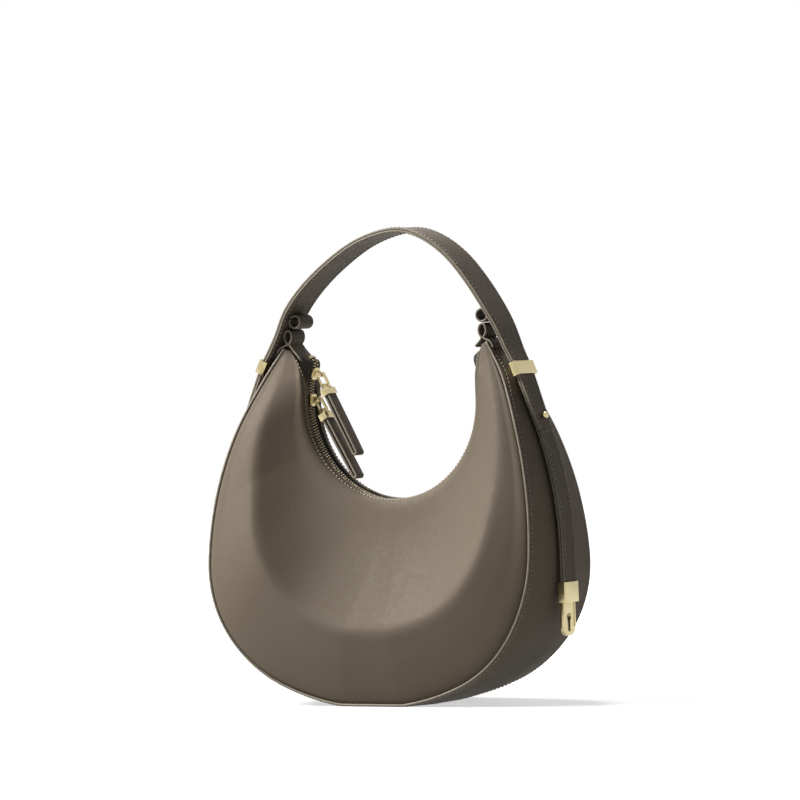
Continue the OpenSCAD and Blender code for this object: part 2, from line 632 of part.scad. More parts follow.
// A rectangle with its corners cut
function bevelled(a, b, c) = let (h = a / 2, k = b / 2) [[-h, c - k], [c - h, -k], [h - c, -k], [h, c - k],
    [h, k - c], [h - c, k], [c - h, k], [-h, k - c]];
keeper_top = clear + keeper_t;
keeper_deep = keeper_back + keeper_top;
rivet_y = keeper_in_w / 8;
module keeper(side) {
    color("#d8c08a") at_keeper(side) difference() {
        translate([0, 0, (keeper_top - keeper_back) / 2]) rotate([0, 90, 0])
            linear_extrude(keeper_h, center = true) difference() {
                polygon(bevelled(keeper_deep, keeper_in_w + 2 * keeper_t, keeper_r));
                polygon(bevelled(keeper_deep - 2 * keeper_t, keeper_in_w, keeper_r - keeper_t + edge_break));
            }
        for (y = [-rivet_y, rivet_y]) translate([0, y, -keeper_back - over])
            cylinder(h = keeper_t + 2 * over, r = shank_r + fit, $fn = 24);
    }
}
module left_keeper() { keeper(-1); }
module right_keeper() { keeper(1); }

rivet_head = keeper_back + 2 * clear + gusset_t + rivet_room;
module keeper_rivets() {
    color("#b9a67a") for (s = [-1, 1], y = [-rivet_y, rivet_y]) at_keeper(s) translate([0, y, 0]) {
        translate([0, 0, -rivet_head - head_h]) cylinder(h = head_h, r = rivet_head_r, $fn = 24);
        translate([0, 0, -rivet_head - edge_break])
            cylinder(h = rivet_head + edge_break - keeper_back + keeper_t - glue, r = shank_r, $fn = 24);
    }
}
// Holes in the gusset for the rivets and the screws
module fasten_holes() {
    long = gusset_t + 4 * over;
    for (s = [-1, 1]) {
        at_horn(stud_turn, gusset_crown - gusset_t, s) translate([0, 0, -over])
            cylinder(h = long, r = shank_r + fit, $fn = 24);
        for (y = [-rivet_y, rivet_y]) at_keeper(s) translate([0, y, -keeper_back - gusset_t - 3 * over])
            cylinder(h = long, r = shank_r + fit, $fn = 24);
    }
}

// Stud: a collar on the gusset, a neck through the strap and a ball over it
collar_h = tail_gap - clear - glue;
bore_h = collar_h - clear;
module stud(side) {
    high = tail_off - gusset_crown + clear + ball_r * 0.8;
    color("#d8c08a") at_horn(stud_turn, gusset_crown, side) difference() {
        union() {
            translate([0, 0, glue]) cylinder(h = collar_h, r = collar_r, $fn = 48);
            translate([0, 0, glue]) cylinder(h = high, r = neck_r, $fn = 32);
            translate([0, 0, high]) sphere(r = ball_r, $fn = 48);
        }
        translate([0, 0, -over]) cylinder(h = over + glue + bore_h, r = shank_r + fit, $fn = 24);
    }
}
module left_stud() { stud(-1); }
module right_stud() { stud(1); }
module stud_screws() {
    low = gusset_t + clear + head_h;
    color("#b9a67a") for (s = [-1, 1]) at_horn(stud_turn, gusset_crown, s) translate([0, 0, -low]) {
        cylinder(h = head_h, r = head_r, $fn = 32);
        cylinder(h = low + bore_h - glue, r = shank_r, $fn = 24);
    }
}

// Tail of the strap: down along the horn from the flex line, then straight into the clamp
gap_turn = clear / (horn_r + tail_off) / rad;
tail_end = clamp_z - clamp_grip + glue;
module tail_layer(side, top, thick) {
    out = tail_off - top - thick / 2;
    line = concat([for (k = [0 : 8]) horn_point(lerp(flex_turn - gap_turn, 0, k / 8), out, side)],
        [[side * (half_w + out), tail_end]]);
    color("#665d4e") band(line, thick, tail_w);
}
module left_tail() { tail_layer(-1, 0, strap_t); }
module right_tail() { tail_layer(1, 0, strap_t); }
module left_tail_lining() { tail_layer(-1, strap_t + glue, strap_lining_t); }
module right_tail_lining() { tail_layer(1, strap_t + glue, strap_lining_t); }

// Places a fitting on the end of a tail: X out, Z up from the clamp's lower edge
module at_tip(side) {
    mirror([side < 0 ? 1 : 0, 0, 0])
        translate([half_w + tail_off + clamp_wall - clamp_d / 2, 0, clamp_z - clamp_h]) children();
}
plate_mid = plate_back + plate_t / 2 - clamp_d / 2;
module tip_clamp(side) {
    room = strap_all + 2 * glue;
    color("#cfc6b4") at_tip(side) difference() {
        linear_extrude(clamp_h) polygon(bevelled(clamp_d, clamp_w, edge_break * 2));
        translate([clamp_d / 2 - clamp_wall + glue - room, -tail_w / 2 - glue, clamp_h - clamp_grip])
            cube([room, tail_w + 2 * glue, clamp_grip + over]);
        translate([plate_mid - plate_t / 2 - glue, -plate_w / 2 - glue, -over])
            cube([plate_t + 2 * glue, plate_w + 2 * glue, plate_tongue + glue + over]);
    }
}
module left_tip_clamp() { tip_clamp(-1); }
module right_tip_clamp() { tip_clamp(1); }

module keyhole_plate(side) {
    h = plate_w / 2;
    low = plate_round - plate_l;
    outline = concat([[h, plate_tongue], [-h, plate_tongue]],
        [for (a = [180 : 15 : 270]) [plate_round - h + plate_round * cos(a), low + plate_round * sin(a)]],
        [for (a = [270 : 15 : 360]) [h - plate_round + plate_round * cos(a), low + plate_round * sin(a)]]);
    slot_low = slot_end + key_slot - plate_l;
    color("#d8c08a") at_tip(side) translate([plate_mid, 0, 0]) difference() {
        union() {
            rotate([90, 0, 90]) translate([0, 0, -plate_t / 2]) linear_extrude(plate_t) polygon(outline);
            for (s = [-1, 1]) translate([0, s * (h - rim_w / 2) - rim_w / 2, low])
                cube([plate_t / 2 + rim_h, rim_w, -low - clear]);
        }
        translate([-plate_t, 0, slot_low + slot_run]) rotate([0, 90, 0])
            cylinder(h = 2 * plate_t, r = key_r, $fn = 48);
        translate([-plate_t, 0, slot_low]) rotate([0, 90, 0])
            cylinder(h = 2 * plate_t, r = key_slot, $fn = 32);
        translate([-plate_t, -key_slot, slot_low]) cube([2 * plate_t, 2 * key_slot, slot_run]);
    }
}
module left_keyhole_plate() { keyhole_plate(-1); }
module right_keyhole_plate() { keyhole_plate(1); }

// Places a slider on the chain: X along it, Z toward the middle of the mouth
module at_chain(turn) {
    translate([mouth_shift, 0, mouth_z]) rotate([0, 90 + turn, 0]) translate([0, 0, -chain_r]) children();
}
plate_low = tooth_h / 2 + clear;
module slider(turn) {
    ear_foot = slider_l * 0.3;
    ear = concat([[-ear_foot, plate_low + slider_t / 2], [ear_foot, plate_low + slider_t / 2]],
        [for (a = [0 : 20 : 180]) [ear_r * cos(a), pin_rise + ear_r * sin(a)]]);
    flange_low = tape_t / 2 + clear;
    color("#d8c08a") at_chain(turn) {
        for (s = [-1, 1]) {
            translate([0, 0, s * (plate_low + slider_t / 2)]) linear_extrude(slider_t, center = true)
                polygon(bevelled(slider_l, 2 * slider_half, edge_break * 3));
            for (k = [-1, 1]) translate([-slider_l / 3, k * (slider_half - slider_flange / 2) - slider_flange / 2,
                s > 0 ? flange_low : -plate_low - slider_t / 2])
                cube([slider_l * 2 / 3, slider_flange, plate_low + slider_t / 2 - flange_low]);
            translate([0, s * (ear_in + ear_t / 2), 0]) rotate([90, 0, 0])
                linear_extrude(ear_t, center = true) polygon(ear);
        }
        translate([-slider_web_l / 2, -slider_web, -plate_low - slider_t / 2])
            cube([slider_web_l, 2 * slider_web, 2 * plate_low + slider_t]);
        translate([0, 0, pin_rise]) rotate([90, 0, 0])
            cylinder(h = 2 * ear_in + ear_t, r = pin_r, center = true, $fn = 24);
    }
}
module slider_upper() { slider(upper_turn); }
module slider_lower() { slider(lower_turn); }

// Places a pull on its pin: X down along the pull, Z across it
module at_pull(turn, hang) {
    p = mouth_point(-90 - turn, chain_r - pin_rise);
    translate([p[0], 0, p[1]]) rotate([0, hang, 0]) children();
}
module flat(wide) { rotate([90, 0, 0]) linear_extrude(wide, center = true) children(); }
module capsule(a, b, r) {
    polygon(concat([for (k = [90 : 15 : 270]) [a + r * cos(k), r * sin(k)]],
        [for (k = [-90 : 15 : 90]) [b + r * cos(k), r * sin(k)]]));
}
eye_a = eye_half - pin_r - fit;
eye_b = eye_a + link_l - 2 * link_half;
bar_r = ferrule_half / 3;
bar_x = eye_b + eye_half - bar_r - fit;
ferrule_x = bar_x - bar_r - edge_break;
ferrule_end = ferrule_x + ferrule_l;
module pull_link() {
    color("#d8c08a") flat(2 * link_y) difference() {
        capsule(eye_a, eye_b, link_half);
        capsule(eye_a, eye_b, eye_half);
    }
}
// The ferrule grips the link with a bar through its eye, and the folded leather at its other end
fold_half = pull_t + pull_gap / 2;
module pull_ferrule() {
    f = ferrule_half;
    slot_x = eye_b + link_half + fit;
    grip_x = ferrule_end - pull_grip - glue;
    neck = eye_half * 1.6;
    color("#d8c08a") difference() {
        union() {
            flat(pull_w + 4 * edge_break) polygon([[slot_x - edge_break, -f], [ferrule_end, -f],
                [ferrule_end, f], [slot_x - edge_break, f]]);
            flat(2 * neck) polygon([[ferrule_x, -bar_r], [slot_x, -f], [slot_x, f], [ferrule_x, bar_r]]);
        }
        difference() {
            translate([ferrule_x - over, -link_y - fit, -link_half - over])
                cube([slot_x - ferrule_x + over, 2 * (link_y + fit), 2 * (link_half + over)]);
            translate([bar_x, 0, 0]) rotate([90, 0, 0])
                cylinder(h = link_l, r = bar_r, center = true, $fn = 32);
        }
        translate([grip_x, -pull_w / 2 - glue, -fold_half - glue])
            cube([pull_grip + glue + over, pull_w + 2 * glue, 2 * (fold_half + glue)]);
    }
}
// A strip of leather folded in two at its end
module pull_leather() {
    a = ferrule_end - pull_grip;
    b = pull_reach - fold_half;
    g = pull_gap / 2;
    color("#6a6152") flat(pull_w) difference() {
        polygon(concat([[a, fold_half], [a, -fold_half]],
            [for (k = [-90 : 15 : 90]) [b + fold_half * cos(k), fold_half * sin(k)]]));
        polygon(concat([[a - over, g], [a - over, -g]],
            [for (k = [-90 : 30 : 90]) [b + g * cos(k), g * sin(k)]]));
    }
}
module pull_link_upper() { at_pull(upper_turn, upper_hang) pull_link(); }
module pull_ferrule_upper() { at_pull(upper_turn, upper_hang) pull_ferrule(); }
module pull_leather_upper() { at_pull(upper_turn, upper_hang) pull_leather(); }
module pull_link_lower() { at_pull(lower_turn, lower_hang) pull_link(); }
module pull_ferrule_lower() { at_pull(lower_turn, lower_hang) pull_ferrule(); }
module pull_leather_lower() { at_pull(lower_turn, lower_hang) pull_leather(); }

front_panel();
back_panel();
gusset();
front_lining();
back_lining();
gusset_lining();
slip_pocket();
front_zip_tape();
back_zip_tape();
front_zip_teeth();
back_zip_teeth();
zip_stops();
left_end_tab();
right_end_tab();
left_strap_loop();
right_strap_loop();
strap();
strap_lining();
left_keeper();
right_keeper();
keeper_rivets();
left_stud();
right_stud();
stud_screws();
left_tail();
left_tail_lining();
left_tip_clamp();
left_keyhole_plate();
right_tail();
right_tail_lining();
right_tip_clamp();
right_keyhole_plate();
slider_upper();
slider_lower();
pull_link_upper();
pull_ferrule_upper();
pull_leather_upper();
pull_link_lower();
pull_ferrule_lower();
pull_leather_lower();
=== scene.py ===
import math

import bmesh
import bpy
import numpy as np
from mathutils import Matrix, Vector


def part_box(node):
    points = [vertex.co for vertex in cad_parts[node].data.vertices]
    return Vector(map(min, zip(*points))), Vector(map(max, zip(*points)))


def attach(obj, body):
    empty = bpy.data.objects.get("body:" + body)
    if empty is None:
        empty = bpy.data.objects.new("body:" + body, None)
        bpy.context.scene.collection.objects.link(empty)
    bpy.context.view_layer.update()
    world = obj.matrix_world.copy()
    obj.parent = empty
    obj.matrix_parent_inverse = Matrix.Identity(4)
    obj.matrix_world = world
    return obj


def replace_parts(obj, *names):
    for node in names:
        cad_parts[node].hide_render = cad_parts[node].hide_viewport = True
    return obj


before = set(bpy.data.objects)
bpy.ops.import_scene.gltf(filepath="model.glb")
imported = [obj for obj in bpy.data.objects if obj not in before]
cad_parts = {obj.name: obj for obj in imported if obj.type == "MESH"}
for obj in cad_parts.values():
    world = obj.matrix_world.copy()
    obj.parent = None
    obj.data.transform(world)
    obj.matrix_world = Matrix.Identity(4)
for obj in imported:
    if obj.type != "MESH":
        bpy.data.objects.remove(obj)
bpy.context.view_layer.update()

mm = 0.001

# Sizes of the bag in millimetres, as the solids have them
bag = dict(width=260, widestZ=102.4, tipZ=250, bottomR=179, hornR=254, baseFlat=1.6, halfDepth=46,
           leather=1.6, gusset=1.8, flange=7, proud=0.8, crown=2, tipCrown=0.4, clear=0.3, glue=0.1)

# Each side of the seam is three arcs in a row: base, corner and horn
halfW = bag["width"] / 2
sweepZ = bag["bottomR"] - bag["baseFlat"]
cornerR = (halfW**2 + (sweepZ - bag["widestZ"])**2 - bag["bottomR"]**2) / (2 * (halfW - bag["bottomR"]))
cornerX = halfW - cornerR
cornerTurn = -math.degrees(math.atan2(bag["widestZ"] - sweepZ, cornerX))
hornX = halfW - bag["hornR"]
hornTurn = math.degrees(math.asin((bag["tipZ"] - bag["widestZ"]) / bag["hornR"]))
baseLen = bag["bottomR"] * math.radians(90 - cornerTurn)
cornerLen = cornerR * math.radians(cornerTurn)
hornLen = bag["hornR"] * math.radians(hornTurn)
seamLen = baseLen + cornerLen + hornLen
tipX = hornX + bag["hornR"] * math.cos(math.radians(hornTurn))
seamIn = bag["gusset"] + bag["clear"]


def mix(a, b, w):
    # a where w is 0, b where w is 1, and straight between them
    return a + (b - a) * w


def smooth(w):
    # three w squared less two w cubed: it leaves 0 and reaches 1 without a slope
    w = np.clip(w, 0, 1)
    return w * w * (3 - 2 * w)


def cosd(a):
    # cosine of an angle in degrees
    return np.cos(np.radians(a))


def sind(a):
    # sine of an angle in degrees
    return np.sin(np.radians(a))


def unit(v):
    # the same directions at length 1
    return v / np.maximum(np.linalg.norm(v, axis=-1, keepdims=True), 1e-9)


def through(p0, p1, p2, p3, w):
    # the cubic from p1 to p2 whose slopes at both follow their neighbours
    return (p1 + (p2 - p0) * w / 2 + (2 * p0 - 5 * p1 + 4 * p2 - p3) * w**2 / 2
            + (3 * p1 - p0 - 3 * p2 + p3) * w**3 / 2)


def readAt(values, s):
    # that cubic through values standing at 0, 1, 2 and so on, read at s
    v, last = np.asarray(values, float), len(values) - 1
    i = np.minimum(s.astype(int), last - 1)
    w = (s - i).reshape(s.shape + (1,) * (v.ndim - 1))
    return through(v[np.maximum(i - 1, 0)], v[i], v[i + 1], v[np.minimum(i + 2, last)], w)


def alongSeam(t, values):
    # the cubic through values set at equal steps from the left horn tip to the right one
    return readAt(values, np.clip((t + 1) / 2, 0, 1) * (len(values) - 1))


def lengthAlong(line):
    # running length at each point: the sum of the steps before it
    return np.concatenate([[0], np.cumsum(np.linalg.norm(np.diff(line, axis=0), axis=1))])


def readLine(line, run, at):
    # every coordinate of a line read at the running lengths asked for
    return np.stack([np.interp(at, run, line[:, k]) for k in range(line.shape[1])], 1)


def smoothLine(points, count):
    # a cubic through the points, taken again at equal steps of its length
    last = len(points) - 1
    line = readAt(points, np.linspace(0, last, last * 40 + 1))
    run = lengthAlong(line)
    return readLine(line, run, np.linspace(0, run[-1], count))


def relaxed(line, turns):
    # each turn moves every inner point halfway to the middle of its neighbours
    line = line.copy()
    for k in range(turns):
        line[1:-1] = line[1:-1] / 2 + (line[:-2] + line[2:]) / 4
    return line


def inDepth(p, y):
    # points of the XZ plane set at y
    return np.stack([p[..., 0], y, p[..., 1]], -1)


def lineFrame(line):
    # unit direction of a line in the XZ plane, and the normal a quarter turn from it
    d = unit(np.gradient(line, axis=0))
    return d, np.stack([-d[:, 1], d[:, 0]], 1)


def seamAngle(u):
    # the angle on whichever arc holds the share u: the length along that arc over its radius
    run = u * seamLen
    return np.where(run < baseLen, -90 + np.degrees(run / bag["bottomR"]),
                    np.where(run < baseLen + cornerLen, -cornerTurn + np.degrees((run - baseLen) / cornerR),
                             np.degrees((run - baseLen - cornerLen) / bag["hornR"])))


def seamAt(t, out=0, low=0):
    # centre plus radius times cosine and sine, moved out along the radius and pressed flat on the ground
    u = np.abs(t)
    a = seamAngle(u)
    run = u * seamLen
    first, second = run < baseLen, run < baseLen + cornerLen
    cx = np.where(first, 0, np.where(second, cornerX, hornX))
    cz = np.where(first, sweepZ, bag["widestZ"])
    r = np.where(first, bag["bottomR"], np.where(second, cornerR, bag["hornR"])) + out
    return np.stack([np.where(t < 0, -1, 1) * (cx + r * cosd(a)), np.maximum(cz + r * sind(a), low)], -1)


def hornShare(a):
    # share of the seam at an angle of the horn's arc: the length up to there over the whole
    return (baseLen + cornerLen + math.radians(a) * bag["hornR"]) / seamLen


def hornPoint(a, out, side):
    # a point of the horn's arc, with its radius made longer by out
    r = bag["hornR"] + out
    return np.stack([side * (hornX + r * cosd(a)), bag["widestZ"] + r * sind(a)], -1)


# The gusset: shares of its half depth by height, and of its crown from the middle to the edge
gusset = dict(depths=[0.89, 1, 0.84, 0.52, 0], tipDepth=9, crownAcross=[0, 0.4, 0.55, 0.7, 0.85, 1],
              crownShares=[1, 1, 0.86, 0.62, 0.33, 0], bumpBelow=0.06, bumpAbove=0.05, fallFrom=0.88,
              rounding=0.7, stitchIn=3.0)


def depthAt(t):
    # half depth of the gusset, between the tips' and the full one: a cubic by height through the shares
    height = np.clip(seamAt(t)[..., 1] / bag["tipZ"], 0, 1)
    return mix(gusset["tipDepth"], bag["halfDepth"], readAt(gusset["depths"], height * 4))


# The mouth: an arc below its middle, and a flare to each horn
mouth = dict(r=69, z=211.4, shift=4.5, half=7, shelf=5.5, tipIn=4.5, tipDrop=2, follow=1.5, flare=3,
             lipShare=0.62, shelfShare=0.6, stitchIn=3.0, leastShelf=3.2)
mouthArc = mouth["r"] * math.pi / 2
arcShare = mouthArc / (mouthArc + bag["tipZ"] - mouth["tipDrop"] - mouth["z"])


def mouthAt(t):
    # an arc below the middle of the mouth, then a cubic flare to the horn tips
    e = np.abs(t)**mouth["follow"]
    side = np.where(t < 0, -1, 1)
    a = -90 + 90 * e / arcShare
    v = np.clip((e - arcShare) / (1 - arcShare), 0, 1)
    start = mouth["shift"] + side * mouth["r"]
    x = np.where(e < arcShare, mouth["shift"] + side * mouth["r"] * cosd(a),
                 mix(start, side * (tipX - mouth["tipIn"]), v**mouth["flare"]))
    z = np.where(e < arcShare, mouth["z"] + mouth["r"] * sind(a),
                 mix(mouth["z"], bag["tipZ"] - mouth["tipDrop"], v))
    return np.stack([x, z], -1)


def lipY(t):
    # half the opening between the lips, never more than a share of the depth
    return np.minimum(mouth["half"], mouth["lipShare"] * depthAt(t))


def shelfAt(t):
    # width of the shelf beside the lip, never more than a share of what the depth leaves
    return np.minimum(mouth["shelf"], mouth["shelfShare"] * (depthAt(t) - lipY(t)))


# The strap: turns and lifts place the keepers, studs and flex lines on the horns' arcs
strap = dict(archZ=331.4, archX=14, width=30.5, keeperWidth=22, tail=18, outer=1.7, lining=1.5, tailGap=2.2,
             rightLift=10.7, leftLift=8.7, rightTurn=29, leftTurn=31, studTurn=21.2, flexTurn=19.1,
             keeperWall=1.3, bevel=0.6, stitchIn=2.0, tailStitchIn=2.4)
strapAll = strap["outer"] + bag["glue"] + strap["lining"]
tailOff = bag["crown"] + strap["tailGap"] + strapAll
keeperBack = strapAll + bag["clear"] + bag["glue"] + strap["keeperWall"]


def crownAt(t):
    # the gusset's crown: a squared parabola under each keeper, and a smooth fall to the horn tips
    u = np.abs(t)
    left = t < 0
    k = np.where(left, hornShare(strap["leftTurn"]), hornShare(strap["rightTurn"]))
    top = np.where(left, strap["leftLift"], strap["rightLift"]) - keeperBack - 2 * bag["clear"]
    near = np.maximum(0, 1 - ((u - k) / np.where(u < k, gusset["bumpBelow"], gusset["bumpAbove"]))**2)**2
    base = mix(bag["crown"], bag["tipCrown"], smooth((u - gusset["fallFrom"]) / (1 - gusset["fallFrom"])))
    return mix(base, top, near)


# The belly: where the crest lies between seam and fold, and how soft it is, from the left horn to the right
belly = dict(crest=[0.38, 0.43, 0.48, 0.45, 0.39, 0.37, 0.37, 0.38, 0.4, 0.35, 0.28],
             soft=[6, 7, 6.5, 5, 3.8, 3.2, 3.4, 4.2, 5.8, 7, 6], rise=0.095, dish=0.046, roll=1.1, rollWidth=8,
             wallPower=0.8, ends=0.15, foldAt=0.9, foldSoft=0.045, foldReach=0.985)


def bellyDepth(b, h, fold, span, t):
    # the softened lesser of a wall, which rises as a power of b, and a slope to the fold less a sine dish;
    # a bell-shaped roll lies along the crest between them
    c = alongSeam(t, belly["crest"])
    top = h + belly["rise"] * span
    wall = h + (top - h) * np.minimum(b / c, 1.15)**belly["wallPower"]
    k = np.clip((b - c) / (1 - c), -1, 1)
    slope = mix(top, fold, k) - belly["dish"] * span * np.sin(np.clip(k, 0, 1) * math.pi) * (top - fold) / 42
    soft = np.minimum(alongSeam(t, belly["soft"]), span / 12)
    low = (wall + slope) / 2 - np.sqrt(((wall - slope) / 2)**2 + soft**2)
    ends = np.clip(b / belly["ends"], 0, 1) * np.clip((1 - b) / belly["ends"], 0, 1)
    low = mix(np.minimum(wall, slope), low, smooth(ends))
    far = (b - c) * span / belly["rollWidth"]
    return low + belly["roll"] * np.minimum(span / 100, 1) * np.exp(-far**2)


def panelPoint(t, w):
    # from seam to lip in a straight line by w, as deep as the belly up to the fold and the shelf after it;
    # a quadratic through three of these points rounds the fold
    seam, lip = seamAt(t, -seamIn, seamIn), mouthAt(t)
    span = np.linalg.norm(lip - seam, axis=-1)
    h = depthAt(t) - bag["proud"]
    fold = lipY(t) + shelfAt(t)
    bend, reach = belly["foldAt"], belly["foldSoft"]

    def rough(w):
        # b runs from seam to fold and v from fold to lip
        b = np.minimum(w / bend, 1)
        v = np.maximum(w - bend, 0) / (1 - bend)
        p = seam + (lip - seam) * mix(belly["foldReach"] * b, 1, v)[..., None]
        return inDepth(p, -mix(bellyDepth(b, h, fold, span, t), lipY(t), v))

    c = np.clip((w - bend + reach) / (2 * reach), 0, 1)[..., None]
    soft = (rough(bend - reach + 0 * w) * (1 - c)**2 + rough(bend + 0 * w) * 2 * c * (1 - c)
            + rough(bend + reach + 0 * w) * c**2)
    return np.where((np.abs(w - bend) < reach)[..., None], soft, rough(w))


def gridNormals(points):
    # cross product of the grid's two slopes, at length 1
    return unit(np.cross(np.gradient(points, axis=0), np.gradient(points, axis=1)))


def newObject(name, data):
    # an object at the origin that shows this data, in the scene
    obj = bpy.data.objects.new(name, data)
    bpy.context.scene.collection.objects.link(obj)
    return obj


def newPiece(name, verts, faces, materials, slots=None, uv=None, body="bag", slotName=None):
    # a mesh straight from arrays in millimetres; the sign of its volume turns its faces outwards
    mesh = bpy.data.meshes.new(name)
    verts = np.asarray(verts, np.float32).reshape(-1, 3) * mm
    faces = np.asarray(faces, np.int32)
    size = faces.shape[1]
    c = verts[faces].astype(float) - verts.mean(0)
    if sum((c[:, 0] * np.cross(c[:, k], c[:, k + 1])).sum() for k in range(1, size - 1)) < 0:
        faces = faces[:, ::-1]
    mesh.vertices.add(len(verts))
    mesh.vertices.foreach_set("co", verts.ravel())
    mesh.loops.add(faces.size)
    mesh.loops.foreach_set("vertex_index", faces.ravel())
    mesh.polygons.add(len(faces))
    mesh.polygons.foreach_set("loop_start", np.arange(0, faces.size, size, dtype=np.int32))
    mesh.update(calc_edges=True)
    for m in materials:
        mesh.materials.append(m)
    if slots is not None:
        mesh.polygons.foreach_set("material_index", np.asarray(slots, np.int32))
    mesh.polygons.foreach_set("use_smooth", np.ones(len(faces), bool))
    if uv is not None:
        layer = mesh.uv_layers.new(name="across")
        layer.data.foreach_set("uv", np.asarray(uv, np.float32).reshape(-1, 2)[faces.ravel()].ravel())
    mesh.validate()
    obj = newObject(name, mesh)
    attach(obj, body)
    return obj


def gridFaces(n, m, closed=False):
    # quads of a grid of n by m points, row by row; closed joins the last column to the first
    cols = m if closed else m - 1
    i, j = np.meshgrid(np.arange(n - 1), np.arange(cols), indexing="ij")
    k = (j + 1) % m
    return np.stack([i * m + j, (i + 1) * m + j, (i + 1) * m + k, i * m + k], -1).reshape(-1, 4)


def repeated(faces, count, step):
    # the same faces for every copy of a small shape, each copy's numbers moved on by its points
    return (faces[None] + (np.arange(count) * step)[:, None, None]).reshape(-1, 4)


def ringPiece(name, rings, materials, ringSlots, uv=None, **more):
    # n closed sections of m points joined by quads; the ends are closed by strips of quads
    n, m = rings.shape[:2]
    i = np.arange(m // 2 - 1)
    first = np.stack([i, i + 1, m - 2 - i, m - 1 - i], -1)
    last = first[:, ::-1] + (n - 1) * m
    faces = np.concatenate([gridFaces(n, m, True), first, last])
    slots = np.concatenate([np.tile(ringSlots, n - 1), np.full(2 * len(i), ringSlots[0])])
    return newPiece(name, rings, faces, materials, slots, uv, **more)


def flatSection(half, thick, bevel, steps=4, across=9):
    # a flat bar's section from the upper left round: straight sides joined by quarter circles of the bevel
    half = half[:, None]
    r = min(bevel, thick / 2 * 0.98)
    a = np.radians(np.linspace(0, 90, steps))
    u = np.linspace(-1, 1, across)[1:-1]

    def corner(sy, sn, angles):
        # the round's centre plus the bevel times cosine and sine
        return (sy * (half - r) + r * np.cos(angles), sn * (thick / 2 - r) + r * np.sin(angles) + 0 * half,
                np.ones(steps, int))

    def side(sign, values):
        # shares of the flat width, half a thickness up or down
        return values * (half - r), sign * thick / 2 + 0 * values * half, np.zeros(across - 2, int)

    parts = [corner(-1, 1, math.pi - a), side(1, u), corner(1, 1, math.pi / 2 - a), corner(1, -1, -a),
             side(-1, -u), corner(-1, -1, -math.pi / 2 - a)]
    y, n, edge = zip(*parts)
    return np.concatenate(y, 1), np.concatenate(n, 1), np.concatenate(edge)


def bandPiece(name, line, half, thick, materials, offset=0.0, bevel=strap["bevel"], **more):
    # a flat bar's section carried along a line in the XZ plane, square to it; its cut edges take the paint
    _, nrm = lineFrame(line)
    half = np.broadcast_to(np.asarray(half, float), (len(line),))
    y, n, edge = flatSection(half, thick, bevel)
    n = n + offset
    rings = inDepth(line[:, None] + nrm[:, None] * n[..., None], y)
    run = np.broadcast_to(lengthAlong(line)[:, None], y.shape)
    uv = np.stack([run, half[:, None] - np.abs(y)], -1) * mm
    return ringPiece(name, rings, materials, ((edge + np.roll(edge, -1)) == 2).astype(int), uv, **more)


sewing = dict(mouth=dict(pitch=2.9, length=2.0, radius=0.48), gusset=dict(pitch=3.2, length=2.3, radius=0.4),
              strap=dict(pitch=3.2, length=2.3, radius=0.36), rise=0.25, dip=0.35)


def stitchRow(name, points, normals, size, **more):
    # a row of short threads: at every pitch a spindle of five small rings laid along the line; its ends sink
    # into their holes by the cube of the distance from its middle
    length, radius = size["length"], size["radius"]
    run = lengthAlong(points)
    count = max(int(run[-1] / size["pitch"]), 2)
    at = (np.arange(count) + 0.5) * run[-1] / count
    p = readLine(points, run, at)
    t = unit(readLine(points, run, at + 0.2) - readLine(points, run, at - 0.2))
    n = readLine(normals, run, at)
    n = unit(n - t * (n * t).sum(1, keepdims=True))
    b = np.cross(t, n)
    u = np.array([-1, -0.8, 0, 0.8, 1])
    w = np.array([0.3, 0.75, 1, 0.75, 0.3])
    a = np.linspace(0, 2 * math.pi, 7)[:-1]
    local = np.stack(np.broadcast_arrays(u[:, None] * length / 2, w[:, None] * radius * np.cos(a),
                                         w[:, None] * radius * 0.8 * np.sin(a)), -1).reshape(-1, 3)
    along, across, up = local[None, :, :1], local[None, :, 1:2], local[None, :, 2:]
    lift = up + sewing["rise"] - sewing["dip"] * (np.abs(along) / (length / 2))**3
    verts = p[:, None] + along * t[:, None] + across * b[:, None] + lift * n[:, None]
    # the ground presses the threads under the base flat
    verts[..., 2] = np.maximum(verts[..., 2], 0)
    caps = np.array([[0, 1, 2, 3], [3, 4, 5, 0], [27, 26, 25, 24], [24, 29, 28, 27]])
    faces = np.concatenate([gridFaces(5, 6, True), caps])
    return newPiece(name, verts, repeated(faces, count, 30), [thread], **more)


def shaderTree(name):
    # a new material, its node tree, its shader, and the place on the object that its patterns read
    m = bpy.data.materials.new(name)
    m.use_nodes = True
    tree = m.node_tree
    return m, tree, tree.nodes["Principled BSDF"], addNode(tree, "TexCoord").outputs["Object"]


def addNode(tree, kind, inputs=None, **values):
    # one node: settings first, then each socket is linked or given its number
    n = tree.nodes.new("ShaderNode" + kind)
    for k, v in values.items():
        setattr(n, k, v)
    for k, v in (inputs or {}).items():
        if isinstance(v, bpy.types.NodeSocket):
            tree.links.new(v, n.inputs[k])
        else:
            n.inputs[k].default_value = v
    return n


def calc(tree, operation, *values):
    # one sum of links and numbers, in the order that the operation takes them
    return addNode(tree, "Math", dict(enumerate(values)), operation=operation).outputs[0]


def spread(tree, value, low, high, start=0, stop=1, kind="LINEAR"):
    # low up to start, high from stop, and straight or smoothly between them
    return addNode(tree, "MapRange", {"Value": value, "From Min": start, "From Max": stop, "To Min": low,
                                      "To Max": high}, interpolation_type=kind).outputs[0]


def noise(tree, at, scale, detail, **more):
    # one noise pattern; scale is in spots a metre
    return addNode(tree, "TexNoise", {"Vector": at, "Scale": scale, "Detail": detail, **more}).outputs["Fac"]


